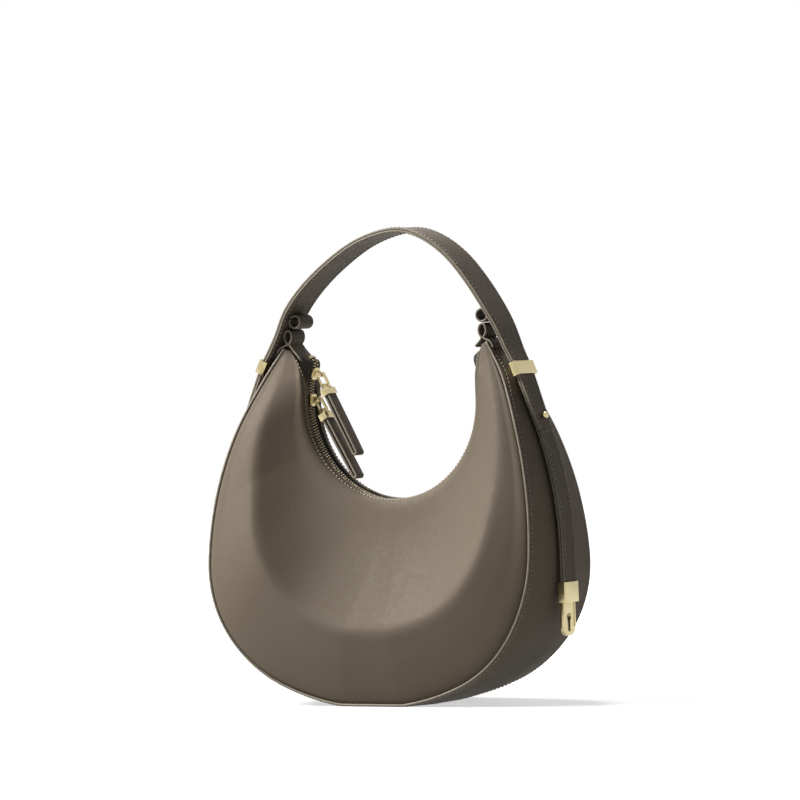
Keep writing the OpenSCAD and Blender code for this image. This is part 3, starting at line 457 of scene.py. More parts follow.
def ramp(tree, fac, stops):
    # a colour ramp through the stops, each a place and a colour
    n = addNode(tree, "ValToRGB", {"Fac": fac})
    e = n.color_ramp.elements
    e[0].position, e[0].color = stops[0][0], (*stops[0][1], 1)
    e[1].position, e[1].color = stops[-1][0], (*stops[-1][1], 1)
    for p, c in stops[1:-1]:
        k = e.new(p)
        k.color = (*c, 1)
    return n.outputs["Color"]


def shade(base, k):
    # the same colour, darker below 1 and lighter above it
    return tuple(c * k for c in base)


def bumpOf(tree, height, strength, depth):
    # a bump whose full height is depth in millimetres
    return addNode(tree, "Bump", {"Strength": strength, "Distance": depth * mm, "Height": height})


def dress(tree, shader, colour, bump, values):
    # colour and relief come by links; plain numbers are set on the shader's own sockets
    tree.links.new(colour, shader.inputs["Base Color"])
    tree.links.new(bump.outputs["Normal"], shader.inputs["Normal"])
    for socket, value in values.items():
        shader.inputs[socket].default_value = value


# Leather: spots a metre, shares of the tone, and depths in millimetres
hide = dict(cells=1150, fine=2600, folds=240, patch=16, dark=0.96, light=1.02, pores=0.55, grainDepth=0.12,
            grooveHalf=0.9, grooveDepth=0.35, grooveShade=0.45, sheen=0.03, gloss=0.16)


def leatherMaterial(name, base, grain, rough=0.6, groove=None, seed=0.0):
    # fine grain as cells times noise, plus soft folds; mottled dye and darker pores; the stitch line lies in
    # a shallow groove, a set distance from the cut edge, and painted shade darkens the groove's colour
    m, tree, shader, at = shaderTree(name)
    at = addNode(tree, "Mapping", {"Vector": at, "Location": (seed, seed * 0.7, 0)}).outputs["Vector"]
    cells = addNode(tree, "TexVoronoi", {"Vector": at, "Scale": hide["cells"], "Randomness": 1},
                    feature="SMOOTH_F1").outputs["Distance"]
    fine = noise(tree, at, hide["fine"], 3)
    folds = noise(tree, at, hide["folds"], 4, Roughness=0.55)
    patch = noise(tree, at, hide["patch"], 3)
    dark, light = shade(base, hide["dark"]), shade(base, hide["light"])
    tone = ramp(tree, patch, [(0.3, dark), (0.55, base), (0.75, light)])
    pores = ramp(tree, cells, [(0.0, (1, 1, 1)), (0.62, (0.97, 0.97, 0.97)), (1, (0.78, 0.77, 0.75))])
    colour = addNode(tree, "Mix", {"Factor": hide["pores"], "A": tone, "B": pores}, data_type="RGBA",
                     blend_type="MULTIPLY").outputs["Result"]
    height = calc(tree, "MULTIPLY_ADD", folds, 1.6, calc(tree, "MULTIPLY", cells, fine))
    bump = bumpOf(tree, height, grain, hide["grainDepth"])
    if groove:
        uv = addNode(tree, "UVMap", uv_map="across").outputs["UV"]
        edge = addNode(tree, "SeparateXYZ", {0: uv}).outputs["Y"]
        far = calc(tree, "ABSOLUTE", calc(tree, "SUBTRACT", edge, groove * mm))
        dip = spread(tree, far, 0, 1, stop=hide["grooveHalf"] * mm, kind="SMOOTHSTEP")
        # painted shade: the groove's colour is mixed towards a darker copy of the tone, most at its middle
        depth = ramp(tree, dip, [(0, (hide["grooveShade"],) * 3), (1, (0,) * 3)])
        deep = (*shade(base, hide["grooveShade"]), 1)
        colour = addNode(tree, "Mix", {"Factor": depth, "A": colour, "B": deep},
                         data_type="RGBA").outputs["Result"]
        tree.links.new(bumpOf(tree, dip, 0.8, hide["grooveDepth"]).outputs["Normal"], bump.inputs["Normal"])
    worn = ramp(tree, folds, [(0.3, (rough - 0.05,) * 3), (0.7, (rough + 0.08,) * 3)])
    tree.links.new(worn, shader.inputs["Roughness"])
    dress(tree, shader, colour, bump, {"Sheen Weight": hide["sheen"], "Sheen Roughness": 0.45,
                                       "Specular IOR Level": hide["gloss"]})
    return m


def edgeMaterial(name, base):
    # thick edge paint: smooth, a little uneven along its length
    m, tree, shader, at = shaderTree(name)
    run = noise(tree, at, 260, 3)
    tone = ramp(tree, run, [(0.3, shade(base, 0.86)), (0.7, shade(base, 1.06))])
    dress(tree, shader, tone, bumpOf(tree, run, 0.25, 0.15), {"Roughness": 0.42, "Specular IOR Level": 0.3})
    return m


def threadMaterial(name, base):
    # twisted thread: very fine noise in its tone and height
    m, tree, shader, at = shaderTree(name)
    ply = noise(tree, at, 3500, 2)
    tone = ramp(tree, ply, [(0.3, shade(base, 0.75)), (0.7, base)])
    dress(tree, shader, tone, bumpOf(tree, ply, 0.6, 0.08), {"Roughness": 0.75, "Sheen Weight": 0.3})
    return m


def metalMaterial(name, base, rough):
    # plated metal: soft mottling of the polish and very fine scratches
    m, tree, shader, at = shaderTree(name)
    haze = noise(tree, at, 90, 2)
    long = addNode(tree, "Mapping", {"Vector": at, "Scale": (1, 1, 14)}).outputs["Vector"]
    tone = ramp(tree, haze, [(0.3, shade(base, 0.97)), (0.7, base)])
    polish = ramp(tree, haze, [(0.3, (rough * 0.92,) * 3), (0.75, (rough * 1.1,) * 3)])
    tree.links.new(polish, shader.inputs["Roughness"])
    dress(tree, shader, tone, bumpOf(tree, noise(tree, long, 900, 2), 0.05, 0.05), {"Metallic": 1})
    return m


def clothMaterial(name, base, threads):
    # plain weave: two crossed sets of waves, multiplied; threads are counted in a metre
    m, tree, shader, at = shaderTree(name)
    warp, weft = [addNode(tree, "TexWave", {"Vector": at, "Scale": threads / 6.3, "Distortion": 0.4},
                          bands_direction=way).outputs["Fac"] for way in ("X", "Z")]
    weave = calc(tree, "MULTIPLY", warp, weft)
    tone = ramp(tree, weave, [(0, shade(base, 0.6)), (0.8, base)])
    dress(tree, shader, tone, bumpOf(tree, weave, 0.5, 0.1), {"Roughness": 0.85})
    return m


tones = dict(panel=(0.158, 0.128, 0.094), gusset=(0.176, 0.143, 0.105), strap=(0.126, 0.101, 0.074),
             edge=(0.27, 0.235, 0.185), thread=(0.5, 0.44, 0.35), gold=(0.53, 0.45, 0.25),
             tape=(0.03, 0.025, 0.018), lining=(0.30, 0.24, 0.17), teeth=(0.30, 0.25, 0.165))
panelLeather = leatherMaterial("panelLeather", tones["panel"], 0.45)
gussetLeather = leatherMaterial("gussetLeather", tones["gusset"], 0.3, groove=gusset["stitchIn"], seed=0.3)
strapLeather = leatherMaterial("strapLeather", tones["strap"], 0.16, groove=strap["stitchIn"], seed=0.9)
trimLeather = leatherMaterial("trimLeather", tones["strap"], 0.3, rough=0.58, groove=1.8, seed=1.7)
edgePaint = edgeMaterial("edgePaint", tones["edge"])
# painted shade: a half-tone copy of the edge paint for the panels' cut edge at the mouth, where the gap between
# the lips lies in shade
shadedLipEdge = edgeMaterial("shadedLipEdge", shade(tones["edge"], 0.5))
thread = threadMaterial("thread", tones["thread"])
gold = metalMaterial("gold", tones["gold"], 0.24)
zipGold = metalMaterial("zipGold", tones["teeth"], 0.35)
tapeCloth = clothMaterial("tapeCloth", tones["tape"], 2600)
liningCloth = clothMaterial("liningCloth", tones["lining"], 2000)
print("materials ready")

# Camera: turn in degrees, rise and roll in radians, far and aim in metres, the lens and shift in pixels
view = dict(turn=31.0, rise=0.0140, far=3.29495, pixels=4716.49, shiftPx=-8.18, aim=0.21099, roll=-0.0357,
            sensor=36, image=800)


def makeCamera():
    # back is the unit vector of turn and rise; right and up are square to it and turned by the roll
    a, e, k = math.radians(view["turn"]), view["rise"], view["roll"]
    back = np.array([math.sin(a) * math.cos(e), -math.cos(a) * math.cos(e), math.sin(e)])
    right = np.array([math.cos(a), math.sin(a), 0])
    up = np.cross(back, right)
    x, y = right * math.cos(k) + up * math.sin(k), up * math.cos(k) - right * math.sin(k)
    cam = newObject("camera", bpy.data.cameras.new("camera"))
    place = np.array([0, 0, view["aim"]]) + back * view["far"]
    cam.matrix_world = Matrix([*np.stack([x, y, back, place], 1).tolist(), (0, 0, 0, 1)])
    cam.data.sensor_width = view["sensor"]
    cam.data.lens = view["pixels"] * view["sensor"] / view["image"]
    cam.data.shift_x = -view["shiftPx"] / view["image"]
    cam.data.clip_end = 50
    bpy.context.scene.camera = cam


def seenRays(tree):
    # 1 for rays from the camera, off gloss and through glass, else 0: the greatest of the three
    path = addNode(tree, "LightPath").outputs
    seen = path["Is Camera Ray"]
    for other in ("Is Glossy Ray", "Is Transmission Ray"):
        seen = calc(tree, "MAXIMUM", seen, path[other])
    return path["Is Camera Ray"], seen


lamps = dict(
    key=dict(place=(-1.28, -0.86, 1.41), aim=(0, 0, 0.13), size=0.9, power=68, colour=(1, 0.985, 0.96)),
    top=dict(place=(-0.5, 0.7, 1.9), aim=(0, 0, 0.13), size=0.5, power=24, colour=(1, 0.99, 0.97)),
    side=dict(place=(2.1, 0.3, 1.2), aim=(0, 0, 0.15), size=1.0, power=0.8, colour=(1, 1, 1)))
sky = dict(light=0.03, seen=1.0)


def makeLights():
    # discs of light aimed at the bag, and a world that is white where it is seen and dim where it lights
    for name, s in lamps.items():
        lamp = bpy.data.lights.new(name, "AREA")
        lamp.shape, lamp.size, lamp.energy, lamp.color = "DISK", s["size"], s["power"], s["colour"]
        o = newObject(name, lamp)
        o.location = s["place"]
        o.rotation_euler = (Vector(s["aim"]) - Vector(s["place"])).to_track_quat("-Z", "Y").to_euler()
    world = bpy.data.worlds.new("studio")
    bpy.context.scene.world = world
    world.use_nodes = True
    tree = world.node_tree
    _, seen = seenRays(tree)
    back = tree.nodes["Background"]
    back.inputs["Color"].default_value = (1, 1, 1, 1)
    tree.links.new(spread(tree, seen, sky["light"], sky["seen"]), back.inputs["Strength"])


ground = dict(rings=[0.001, 200, 800, 4000.0], under=0.2, tone=0.6, fleck=0.01, bounce=0.5, near=0.2,
              far=0.4, glow=0.6)


def makeFloor():
    # rings of radius times cosine and sine; seen directly the floor glows to white, all the more further out,
    # and it keeps the bag's shadow
    a = np.linspace(0, 2 * math.pi, 65)[:-1]
    r = np.array(ground["rings"])[:, None]
    disc = np.stack([r * np.cos(a), r * np.sin(a), 0 * r * a - ground["under"]], -1)
    m, tree, shader, at = shaderTree("paleFloor")
    tone = ramp(tree, noise(tree, at, 30, 2), [(0.3, (ground["tone"] - ground["fleck"],) * 3),
                                               (0.7, (ground["tone"] + ground["fleck"],) * 3)])
    camera, seen = seenRays(tree)
    tone = addNode(tree, "Mix", {"Factor": 1, "A": tone, "B": spread(tree, camera, ground["bounce"], 1)},
                   data_type="RGBA", blend_type="MULTIPLY").outputs["Result"]
    tree.links.new(tone, shader.inputs["Base Color"])
    away = addNode(tree, "VectorMath", {0: at}, operation="LENGTH").outputs["Value"]
    glow = spread(tree, away, ground["glow"], 1, ground["near"], ground["far"], "SMOOTHSTEP")
    tree.links.new(calc(tree, "MULTIPLY", glow, seen), shader.inputs["Emission Strength"])
    shader.inputs["Emission Color"].default_value = (1, 1, 1, 1)
    shader.inputs["Roughness"].default_value = 0.6
    shader.inputs["Specular IOR Level"].default_value = 0.1
    mesh = bpy.data.meshes.new("floor")
    mesh.from_pydata((disc.reshape(-1, 3) * mm).tolist(), [], gridFaces(len(r), len(a), True).tolist())
    mesh.materials.append(m)
    mesh.update()
    newObject("floor", mesh)


makeCamera()
makeLights()
makeFloor()
bpy.context.scene.view_settings.view_transform = "Standard"
print("camera, lights and floor ready")

panel = dict(cols=340, rows=84, crowd=1.7, crowdShare=0.25)


def makePanel(name, mirrored):
    # one closed ring of points for each place along the seam: turned edge, face, lip, and back inside, where
    # the back is the face moved in by the leather along its normals
    cols, rows = panel["cols"], panel["rows"]
    t = np.linspace(-1, 1, cols)
    w = np.linspace(0, 1, rows)
    w = mix(w, 1 - (1 - w)**panel["crowd"], panel["crowdShare"])
    face = panelPoint(*np.broadcast_arrays(t[:, None], w[None]))
    n = gridNormals(face)
    back = face - bag["leather"] * n
    h = depthAt(t) - bag["proud"]
    turnIn = np.minimum(bag["flange"], 0.6 * h)
    outside, inside = seamAt(t, -seamIn, seamIn), seamAt(t, -seamIn - bag["leather"], seamIn + bag["leather"])

    def at(p, share):
        # a share of the turned edge behind the face's outline
        return inDepth(p, share * turnIn - h)[:, None]

    rim = [at(outside, k) for k in (1, 0.6, 0.25, 0.08)]
    inRim = [at(inside, k) for k in (0.35, 0.6, 1)]
    mid, rad = (face[:, -1] + back[:, -1]) / 2, bag["leather"] / 2
    side = unit(face[:, -1] - face[:, -3])
    lip = [(mid + n[:, -1] * rad * math.sin(a) + side * rad * 0.8 * math.cos(a))[:, None]
           for a in np.radians([60, 20, -20, -60])]
    rings = np.concatenate(rim + [face] + lip + [back[:, ::-1][:, 2:-1]] + inRim, 1)
    slots = np.zeros(rings.shape[1], int)
    first = len(rim) + rows - 1
    # the lip at the mouth takes the shaded copy of the edge paint: painted shade
    slots[first:first + len(lip) + 1] = 1
    steps = np.linalg.norm(np.diff(rings[:, ::-1], axis=1), axis=-1)
    run = np.concatenate([np.zeros((cols, 1)), np.cumsum(steps, axis=1)], 1)[:, ::-1]
    v = np.abs(run - run[:, first:first + 1])
    uv = np.stack([np.broadcast_to(t[:, None] * seamLen, v.shape), v], -1) * mm
    if mirrored:
        rings, uv, slots = (rings * [1, -1, 1])[:, ::-1], uv[:, ::-1], np.roll(slots[::-1], -1)
    return ringPiece(name, rings, [panelLeather, shadedLipEdge], slots, uv, slotName="panel_leather")


def mouthStitches(name, flip):
    # points of the panel a set distance from the lip, with the cross product of its slopes as normals
    t = np.linspace(-0.97, 0.97, 900)
    shelf = np.maximum(shelfAt(t), mouth["leastShelf"])
    w = 1 - (1 - belly["foldAt"]) * np.clip(mouth["stitchIn"] / shelf, 0, 0.95)
    p = panelPoint(t, w)
    n = unit(np.cross(panelPoint(t + 0.001, w) - p, p - panelPoint(t, w - 0.004)))
    stitchRow(name, p * [1, flip, 1], n * [1, flip, 1], sewing["mouth"], slotName="panel_leather")


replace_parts(makePanel("frontPanelLeather", False), "front_panel")
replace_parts(makePanel("backPanelLeather", True), "back_panel")
mouthStitches("frontMouthStitches", 1)
mouthStitches("backMouthStitches", -1)


def stripPiece(name, halfAt, out, thick, materials, cols=360, reach=1.0, slotName=None,
               bevel=gusset["rounding"]):
    # the gusset's section carried along the seam: the crown by its shares across, the inside one thickness
    # below it, and half rounds at the cut edges
    across = 25
    t = np.linspace(-reach, reach, cols)
    half, full = halfAt(t), depthAt(t)
    y = np.linspace(-1, 1, across)[None] * (half - bevel)[:, None]
    shape = np.interp(np.abs(y) / full[:, None], gusset["crownAcross"], gusset["crownShares"])
    rise = crownAt(t)[:, None] * shape + out
    tGrid = np.broadcast_to(t[:, None], y.shape)
    outer = inDepth(seamAt(tGrid, rise, -out), y)
    inner = inDepth(seamAt(tGrid, rise - thick, thick - out), y)

    def edge(k, sign, angles):
        # the middle of the cut edge plus half the thickness by sine and the rounding by cosine
        mid, up = (outer[:, k] + inner[:, k]) / 2, (outer[:, k] - inner[:, k]) / 2
        return [(mid + up * math.sin(a) + np.array([0, sign * bevel * math.cos(a), 0]))[:, None]
                for a in np.radians(angles)]

    angles = [60, 30, 0, -30, -60]
    rings = np.concatenate([outer[:, ::-1]] + edge(0, -1, angles) + [inner] + edge(-1, 1, angles[::-1]), 1)
    slots = np.zeros(rings.shape[1], int)
    for start in (across - 1, 2 * across + len(angles) - 1):
        slots[start:start + len(angles) + 1] = 1
    v = full[:, None] - np.abs(rings[..., 1])
    uv = np.stack([np.broadcast_to((t * seamLen)[:, None], v.shape), v], -1) * mm
    return ringPiece(name, rings, materials, slots, uv, slotName=slotName)


def gussetStitches(name, sign):
    # points on the crown a set distance from the cut edge, with the radius of the seam's arc as normal
    t = np.linspace(-0.965, 0.965, 1500)
    y = sign * (depthAt(t) - gusset["stitchIn"])
    p = seamAt(t, crownAt(t) * np.interp(np.abs(y) / depthAt(t), gusset["crownAcross"], gusset["crownShares"]))
    a = seamAngle(np.abs(t))
    n = np.stack([np.where(t < 0, -1, 1) * cosd(a), 0 * a, sind(a)], -1)
    stitchRow(name, inDepth(p, y), n, sewing["gusset"], slotName="gusset_leather")


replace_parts(stripPiece("gussetLeatherStrip", depthAt, 0, bag["gusset"], [gussetLeather, edgePaint],
                       slotName="gusset_leather"), "gusset")
gussetStitches("gussetStitchesFront", -1)
gussetStitches("gussetStitchesBack", 1)
print("leather body ready")

# Linings: rows give the first and last share from seam to lip, reach the share of the seam they follow
lining = dict(gap=0.5, thick=0.8, rows=(0.06, 0.86), reach=0.88, sideIn=8.3, sideGap=4.0, sideBevel=0.3)
pocket = dict(under=1.3, rows=(0.3, 0.66), reach=0.2727)
liningTop = bag["leather"] + lining["gap"]


def makeLining(name, mirrored, depth, shares, cols=160):
    # the panel's surface moved in by depth along its normals, and again by the cloth's thickness
    count, rows, reach = 40, shares["rows"], shares["reach"]
    t = np.linspace(-reach, reach, cols)
    w = np.linspace(rows[0], rows[1], count)
    whole = np.linspace(-1, 1, 400)
    n = gridNormals(panelPoint(*np.broadcast_arrays(whole[:, None], w[None])))
    n = unit(np.stack([readLine(n[:, j], whole, t) for j in range(count)], 1))
    face = panelPoint(*np.broadcast_arrays(t[:, None], w[None]))
    rings = np.concatenate([face - depth * n, (face - (depth + lining["thick"]) * n)[:, ::-1]], 1)
    if mirrored:
        rings = (rings * [1, -1, 1])[:, ::-1]
    return ringPiece(name, rings, [liningCloth], np.zeros(2 * count, int), slotName="lining_cloth")


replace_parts(makeLining("frontLiningCloth", False, liningTop, lining), "front_lining")
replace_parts(makeLining("backLiningCloth", True, liningTop, lining), "back_lining")
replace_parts(makeLining("slipPocketCloth", True, liningTop + pocket["under"], pocket, 80), "slip_pocket")
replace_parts(stripPiece("gussetLiningCloth", lambda t: depthAt(t) - lining["sideIn"], -lining["sideGap"],
                       lining["thick"], [liningCloth, liningCloth], 200, lining["reach"], "lining_cloth",
                       lining["sideBevel"]), "gusset_lining")
print("linings ready")

# The zip: across, tall and wide give a tooth's outline, from the middle of the chain to the tape
chain = dict(half=2.9, tooth=2.4, pitch=2.0, run=6, turn=20.5, lean=45, tape=0.6, tapeReach=0.95,
             tapeTuck=0.4, tapeUnder=0.93, across=[0.45, 0.75, 1.5, 2.5, 2.9],
             tall=[0.55, 0.95, 1.0, 0.95, 0.6], wide=[0.7, 1.05, 0.9, 1.0, 0.8], width=0.28)
chainR = mouth["r"] + bag["leather"] + bag["clear"] + chain["tape"] / 2
chainEnd = 90 + chain["turn"]
arcLen = math.radians(chainEnd) * chainR
bendR = chain["run"] / math.radians(chain["lean"] + chain["turn"])


def chainAt(l):
    # an arc about the mouth, then a short bend outward; gives the point and the way out
    s, m = np.where(l < 0, -1, 1), np.abs(l)
    a = np.degrees(m / chainR) * s
    b = np.degrees((m - arcLen) / bendR) - chain["turn"]
    onArc = m <= arcLen
    endX, endZ = mouth["shift"] + chainR * sind(s * chainEnd), mouth["z"] - chainR * cosd(chainEnd)
    x = np.where(onArc, mouth["shift"] + chainR * sind(a), endX + bendR * s * (cosd(chain["turn"]) - cosd(b)))
    z = np.where(onArc, mouth["z"] - chainR * cosd(a), endZ + bendR * (sind(b) + sind(chain["turn"])))
    outX, outZ = np.where(onArc, sind(a), s * cosd(b)), np.where(onArc, -cosd(a), -sind(b))
    return np.stack([x, z], -1), np.stack([outX, outZ], -1)


def makeTeeth(name, side, node):
    # every tooth is five eight-sided rings across its half of the chain, with a raised nose where the rows
    # meet; one row stands half a pitch on from the other
    pairs = int((arcLen + chain["run"]) / chain["pitch"])
    l = (np.arange(-pairs, pairs) + (0.25 if side < 0 else 0.75)) * chain["pitch"]
    p, out = chainAt(l)
    along = np.stack([-out[:, 1], out[:, 0]], -1)
    across = np.array(chain["across"])[:, None]
    tall = np.array(chain["tall"])[:, None] * chain["tooth"] / 2
    wide = np.array(chain["wide"])[:, None] * chain["pitch"] * chain["width"]
    a = np.radians(np.arange(8) * 45 + 22.5)
    x, y, z = [k.reshape(1, -1) for k in np.broadcast_arrays(
        wide * np.clip(np.cos(a) * 1.35, -1, 1), side * across, tall * np.clip(np.sin(a) * 1.35, -1, 1))]
    verts = np.stack([p[:, :1] + x * along[:, :1] + z * out[:, :1], y + 0 * p[:, :1],
                      p[:, 1:] + x * along[:, 1:] + z * out[:, 1:]], -1)
    caps = np.array([[0, 1, 2, 3], [0, 3, 4, 7], [4, 5, 6, 7], [35, 34, 33, 32], [39, 36, 35, 32],
                     [39, 38, 37, 36]])
    faces = repeated(np.concatenate([gridFaces(5, 8, True), caps]), len(l), 40)
    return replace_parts(newPiece(name, verts, faces, [zipGold], slotName="gold_metal"), node)


def makeTape(name, mirrored, node):
    # cloth from under the teeth to under the stitched shelf: straight in the chain's surface, then two points
    # a leather and a clearance under the panel; the other face lies a tape's thickness further
    reach = (arcShare + (1 - arcShare) * chain["tapeReach"])**(1 / mouth["follow"])
    t = np.linspace(-reach, reach, 260)
    e = np.abs(t)**mouth["follow"]
    v = (e - arcShare) / (1 - arcShare)
    quarter = math.pi / 2 * chainR
    l = np.sign(t) * np.where(e < arcShare, e / arcShare * quarter, mix(quarter, arcLen + chain["run"], v))
    p, out = chainAt(l)
    lip, under = panelPoint(t, np.ones_like(t)), panelPoint(t, np.full_like(t, chain["tapeUnder"]))
    n = unit(np.cross(panelPoint(t + 0.001, np.ones_like(t)) - lip, lip - panelPoint(t, np.full_like(t, 0.99))))
    faces = []
    for d in (0, chain["tape"]):
        q = p + (d - chain["tape"] / 2) * out
        a = inDepth(q, np.full_like(t, chain["tapeTuck"] - chain["half"]))
        b = inDepth(q, bag["clear"] - lipY(t))
        below = (bag["leather"] + bag["clear"] + d) * n
        rows = [mix(a, b, k) for k in (0, 0.25, 0.5, 0.75)] + [b, lip - below, under - below]
        faces.append(np.stack(rows[::-1], 1))
    rings = np.concatenate([faces[0], faces[1][:, ::-1]], 1)
    if mirrored:
        rings = (rings * [1, -1, 1])[:, ::-1]
    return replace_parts(ringPiece(name, rings, [tapeCloth], np.zeros(14, int), slotName="zip_tape"), node)


makeTeeth("frontZipTeeth", -1, "front_zip_teeth")
makeTeeth("backZipTeeth", 1, "back_zip_teeth")
makeTape("frontZipTapeCloth", False, "front_zip_tape")
makeTape("backZipTapeCloth", True, "back_zip_tape")
print("zip ready")

# The arch between each keeper and its top, as shares of the way across and up
rightArch = [[0.071, 0.132], [0.149, 0.3], [0.257, 0.469], [0.385, 0.64], [0.548, 0.812], [0.76, 0.946]]
leftArch = [[0.06, 0.11], [0.135, 0.25], [0.205, 0.414], [0.328, 0.586], [0.5, 0.756], [0.731, 0.922]]


def halfStrap(side):
    # marks from the flex line past the stud and the keeper, then the shares of the way to the top
    word = "left" if side < 0 else "right"
    k = hornPoint(strap[word + "Turn"], strap[word + "Lift"], side)
    top = np.array([strap["archX"], strap["archZ"]])
    arch = [k + (top - k) * np.array(s) for s in (leftArch if side < 0 else rightArch)]
    return [hornPoint(strap["flexTurn"], tailOff, side), hornPoint(strap["studTurn"], tailOff, side), k] + arch


def strapLine(count):
    # a cubic through the marks, relaxed a little, and its width, from tail to keeper to hand
    marks = halfStrap(-1) + [np.array([strap["archX"], strap["archZ"]])] + halfStrap(1)[::-1]
    last = len(marks) - 1
    s = np.linspace(0, last, count)
    k = np.minimum(s, last - s)
    width = np.where(k < 1, strap["tail"], np.where(
        k < 2, mix(strap["tail"], strap["keeperWidth"], np.clip(k - 1, 0, 1)),
        mix(strap["keeperWidth"], strap["width"], smooth((k - 2) / 3.2))))
    return relaxed(readAt(marks, s), 60), relaxed(width[:, None], 60)[:, 0]


def bandStitches(name, line, width, out, pad, flip=1, **more):
    # two rows, a set distance from either edge of a band, raised from its face
    _, n = lineFrame(line)
    p = line + n * out
    normals = inDepth(n, 0 * width) * flip
    for tag, s in (("A", -1), ("B", 1)):
        stitchRow(name + tag, inDepth(p, s * (width / 2 - pad)), normals, sewing["strap"], **more)


strapPath, strapWidth = strapLine(420)
strapParts = [strapLeather, edgePaint]
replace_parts(bandPiece("strapOuterLeather", strapPath, strapWidth / 2, strap["outer"], strapParts,
                      offset=-strap["outer"] / 2, slotName="strap_leather"), "strap")
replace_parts(bandPiece("strapLiningLeather", strapPath, strapWidth / 2, strap["lining"], strapParts,
                      offset=-strap["outer"] - bag["glue"] - strap["lining"] / 2, slotName="strap_leather"),
            "strap_lining")
bandStitches("strapStitches", strapPath[6:-6], strapWidth[6:-6], 0, strap["stitchIn"], slotName="strap_leather")
bandStitches("strapInnerStitches", strapPath[6:-6], strapWidth[6:-6], -strapAll, strap["stitchIn"], -1,
             slotName="strap_leather")

# The clamp on a tail's end: its upper edge, and how far the tail goes in
clamp = dict(z=83.5, grip=8)


def makeTail(side, word):
    # down along the horn's arc from the flex line, then straight down into the clamp
    gap = math.degrees(bag["clear"] / (bag["hornR"] + tailOff))
    a = np.linspace(strap["flexTurn"] - gap, 0, 60)
    more = dict(body=word + "_strap_tail", slotName="strap_leather")

    def down(off, heights):
        # the arc's points and then the heights, ordered so that the normal points to the bag
        line = np.concatenate([hornPoint(a, off, side), [[side * (halfW + off), z] for z in heights]])
        return line if side < 0 else line[::-1]

    heights = np.linspace(bag["widestZ"], clamp["z"] - clamp["grip"] + bag["glue"], 14)[1:]
    for part, top, thick, node in (("Outer", 0, strap["outer"], "_tail"),
                                   ("Lining", strap["outer"] + bag["glue"], strap["lining"], "_tail_lining")):
        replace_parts(bandPiece(word + "Tail" + part, down(tailOff - top - thick / 2, heights), strap["tail"] / 2,
                              thick, strapParts, **more), word + node)
    line = down(tailOff, np.linspace(bag["widestZ"], clamp["z"] + 1, 14))
    width = np.full(len(line), strap["tail"])
    bandStitches(word + "TailStitches", line, width, 0, strap["tailStitchIn"], -1, **more)


makeTail(-1, "left")
makeTail(1, "right")
print("strap ready")

# End tabs and strap loops: fold gives the shares of the tab's own small loop
tab = dict(half=9, thick=1.4, turn=34.1, topTurn=35.1, lift=0.6, rise=1.8, splay=2.4, h=11.6, w=7.2,
           leftIn=4.2, rightIn=3.2, loopR=5, bevel=0.55, corner=3, loopGap=0.12, leftFlap=[0.95, 0.84, 0.74],
           leftOff=[[1.9, 1.5], [1.9, 1.6], [1.9, 1.5]], rightFlap=[0.3, 0.62],
           fold=[[0.15, 0.04], [0.4, 0.3], [0.5, 0.6], [0.34, 0.9], [0, 1], [-0.34, 0.9], [-0.5, 0.6],
                 [-0.4, 0.3], [-0.15, 0.06]])
trimParts = [trimLeather, edgePaint]


def makeTab(side, word):
    # a smooth line up the horn, round a small loop and down over the zip's end, as wide as a quarter circle
    # leaves it at the flap's two corners
    u = tab["thick"]
    leg = [hornPoint(a, float(crownAt(np.array(side * hornShare(a)))) + bag["clear"] + u / 2 + up, side)
           for a, up in ((tab["turn"], 0), (tab["topTurn"], tab["lift"]))]
    root = np.array([side * (tipX - tab["leftIn" if side < 0 else "rightIn"]), bag["tipZ"] + tab["rise"]])
    fold = [root + np.array([side * a * (tab["w"] - u), b * (tab["h"] - u)]) for a, b in tab["fold"]]
    lip = root - np.array([side * tab["splay"], tab["rise"]])
    if side < 0:
        # the flap hangs just off the panels' tips and stops above the top slider
        share = arcShare + (1 - arcShare) * np.array(tab["leftFlap"])
        flap = list(mouthAt(-share**(1 / mouth["follow"])) + np.array(tab["leftOff"]))
    else:
        p, out = chainAt(np.array(side * (arcLen + chain["run"])))
        foot = p - (chain["tooth"] / 2 + 3 * bag["clear"] + u) * out
        near, end = tab["rightFlap"]
        flap = [mix(lip, foot, near) - np.array([0, bag["clear"]]), mix(lip, foot, end)]
    line = smoothLine(leg + fold + [lip] + flap, 200)
    far = np.linspace(lengthAlong(line)[-1], 0, len(line))
    corner = tab["corner"]
    half = tab["half"] - corner + np.sqrt(np.maximum(corner**2 - np.maximum(corner - far, 0)**2, 0))
    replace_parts(bandPiece(word + "EndTabLeather", line, half, u, trimParts, bevel=tab["bevel"],
                          slotName="trim_leather"), word + "_end_tab")


def makeLoop(side, word):
    # a rolled tube against the strap's inner face: a circle that leaves a narrow slit at the strap
    low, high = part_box(word + "_strap_loop")
    c = np.array([(low[0] + high[0]) / 2, (low[2] + high[2]) / 2]) / mm
    _, n = lineFrame(strapPath)
    k = np.argmin(np.linalg.norm(strapPath - n * strapAll - c, axis=1))
    x, z = strapPath[k] - c
    a = math.atan2(z, x) + np.linspace(tab["loopGap"], 2 * math.pi - tab["loopGap"], 90)
    c = strapPath[k] - n[k] * (strapAll + bag["clear"] + tab["loopR"])
    line = c + (tab["loopR"] - tab["thick"] / 2) * np.stack([np.cos(a), np.sin(a)], 1)
    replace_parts(bandPiece(word + "StrapLoopLeather", line, tab["half"], tab["thick"], trimParts,
                          bevel=tab["bevel"], slotName="trim_leather"), word + "_strap_loop")


for make in (makeTab, makeLoop):
    for side, word in ((-1, "left"), (1, "right")):
        make(side, word)
print("tabs and loops ready")

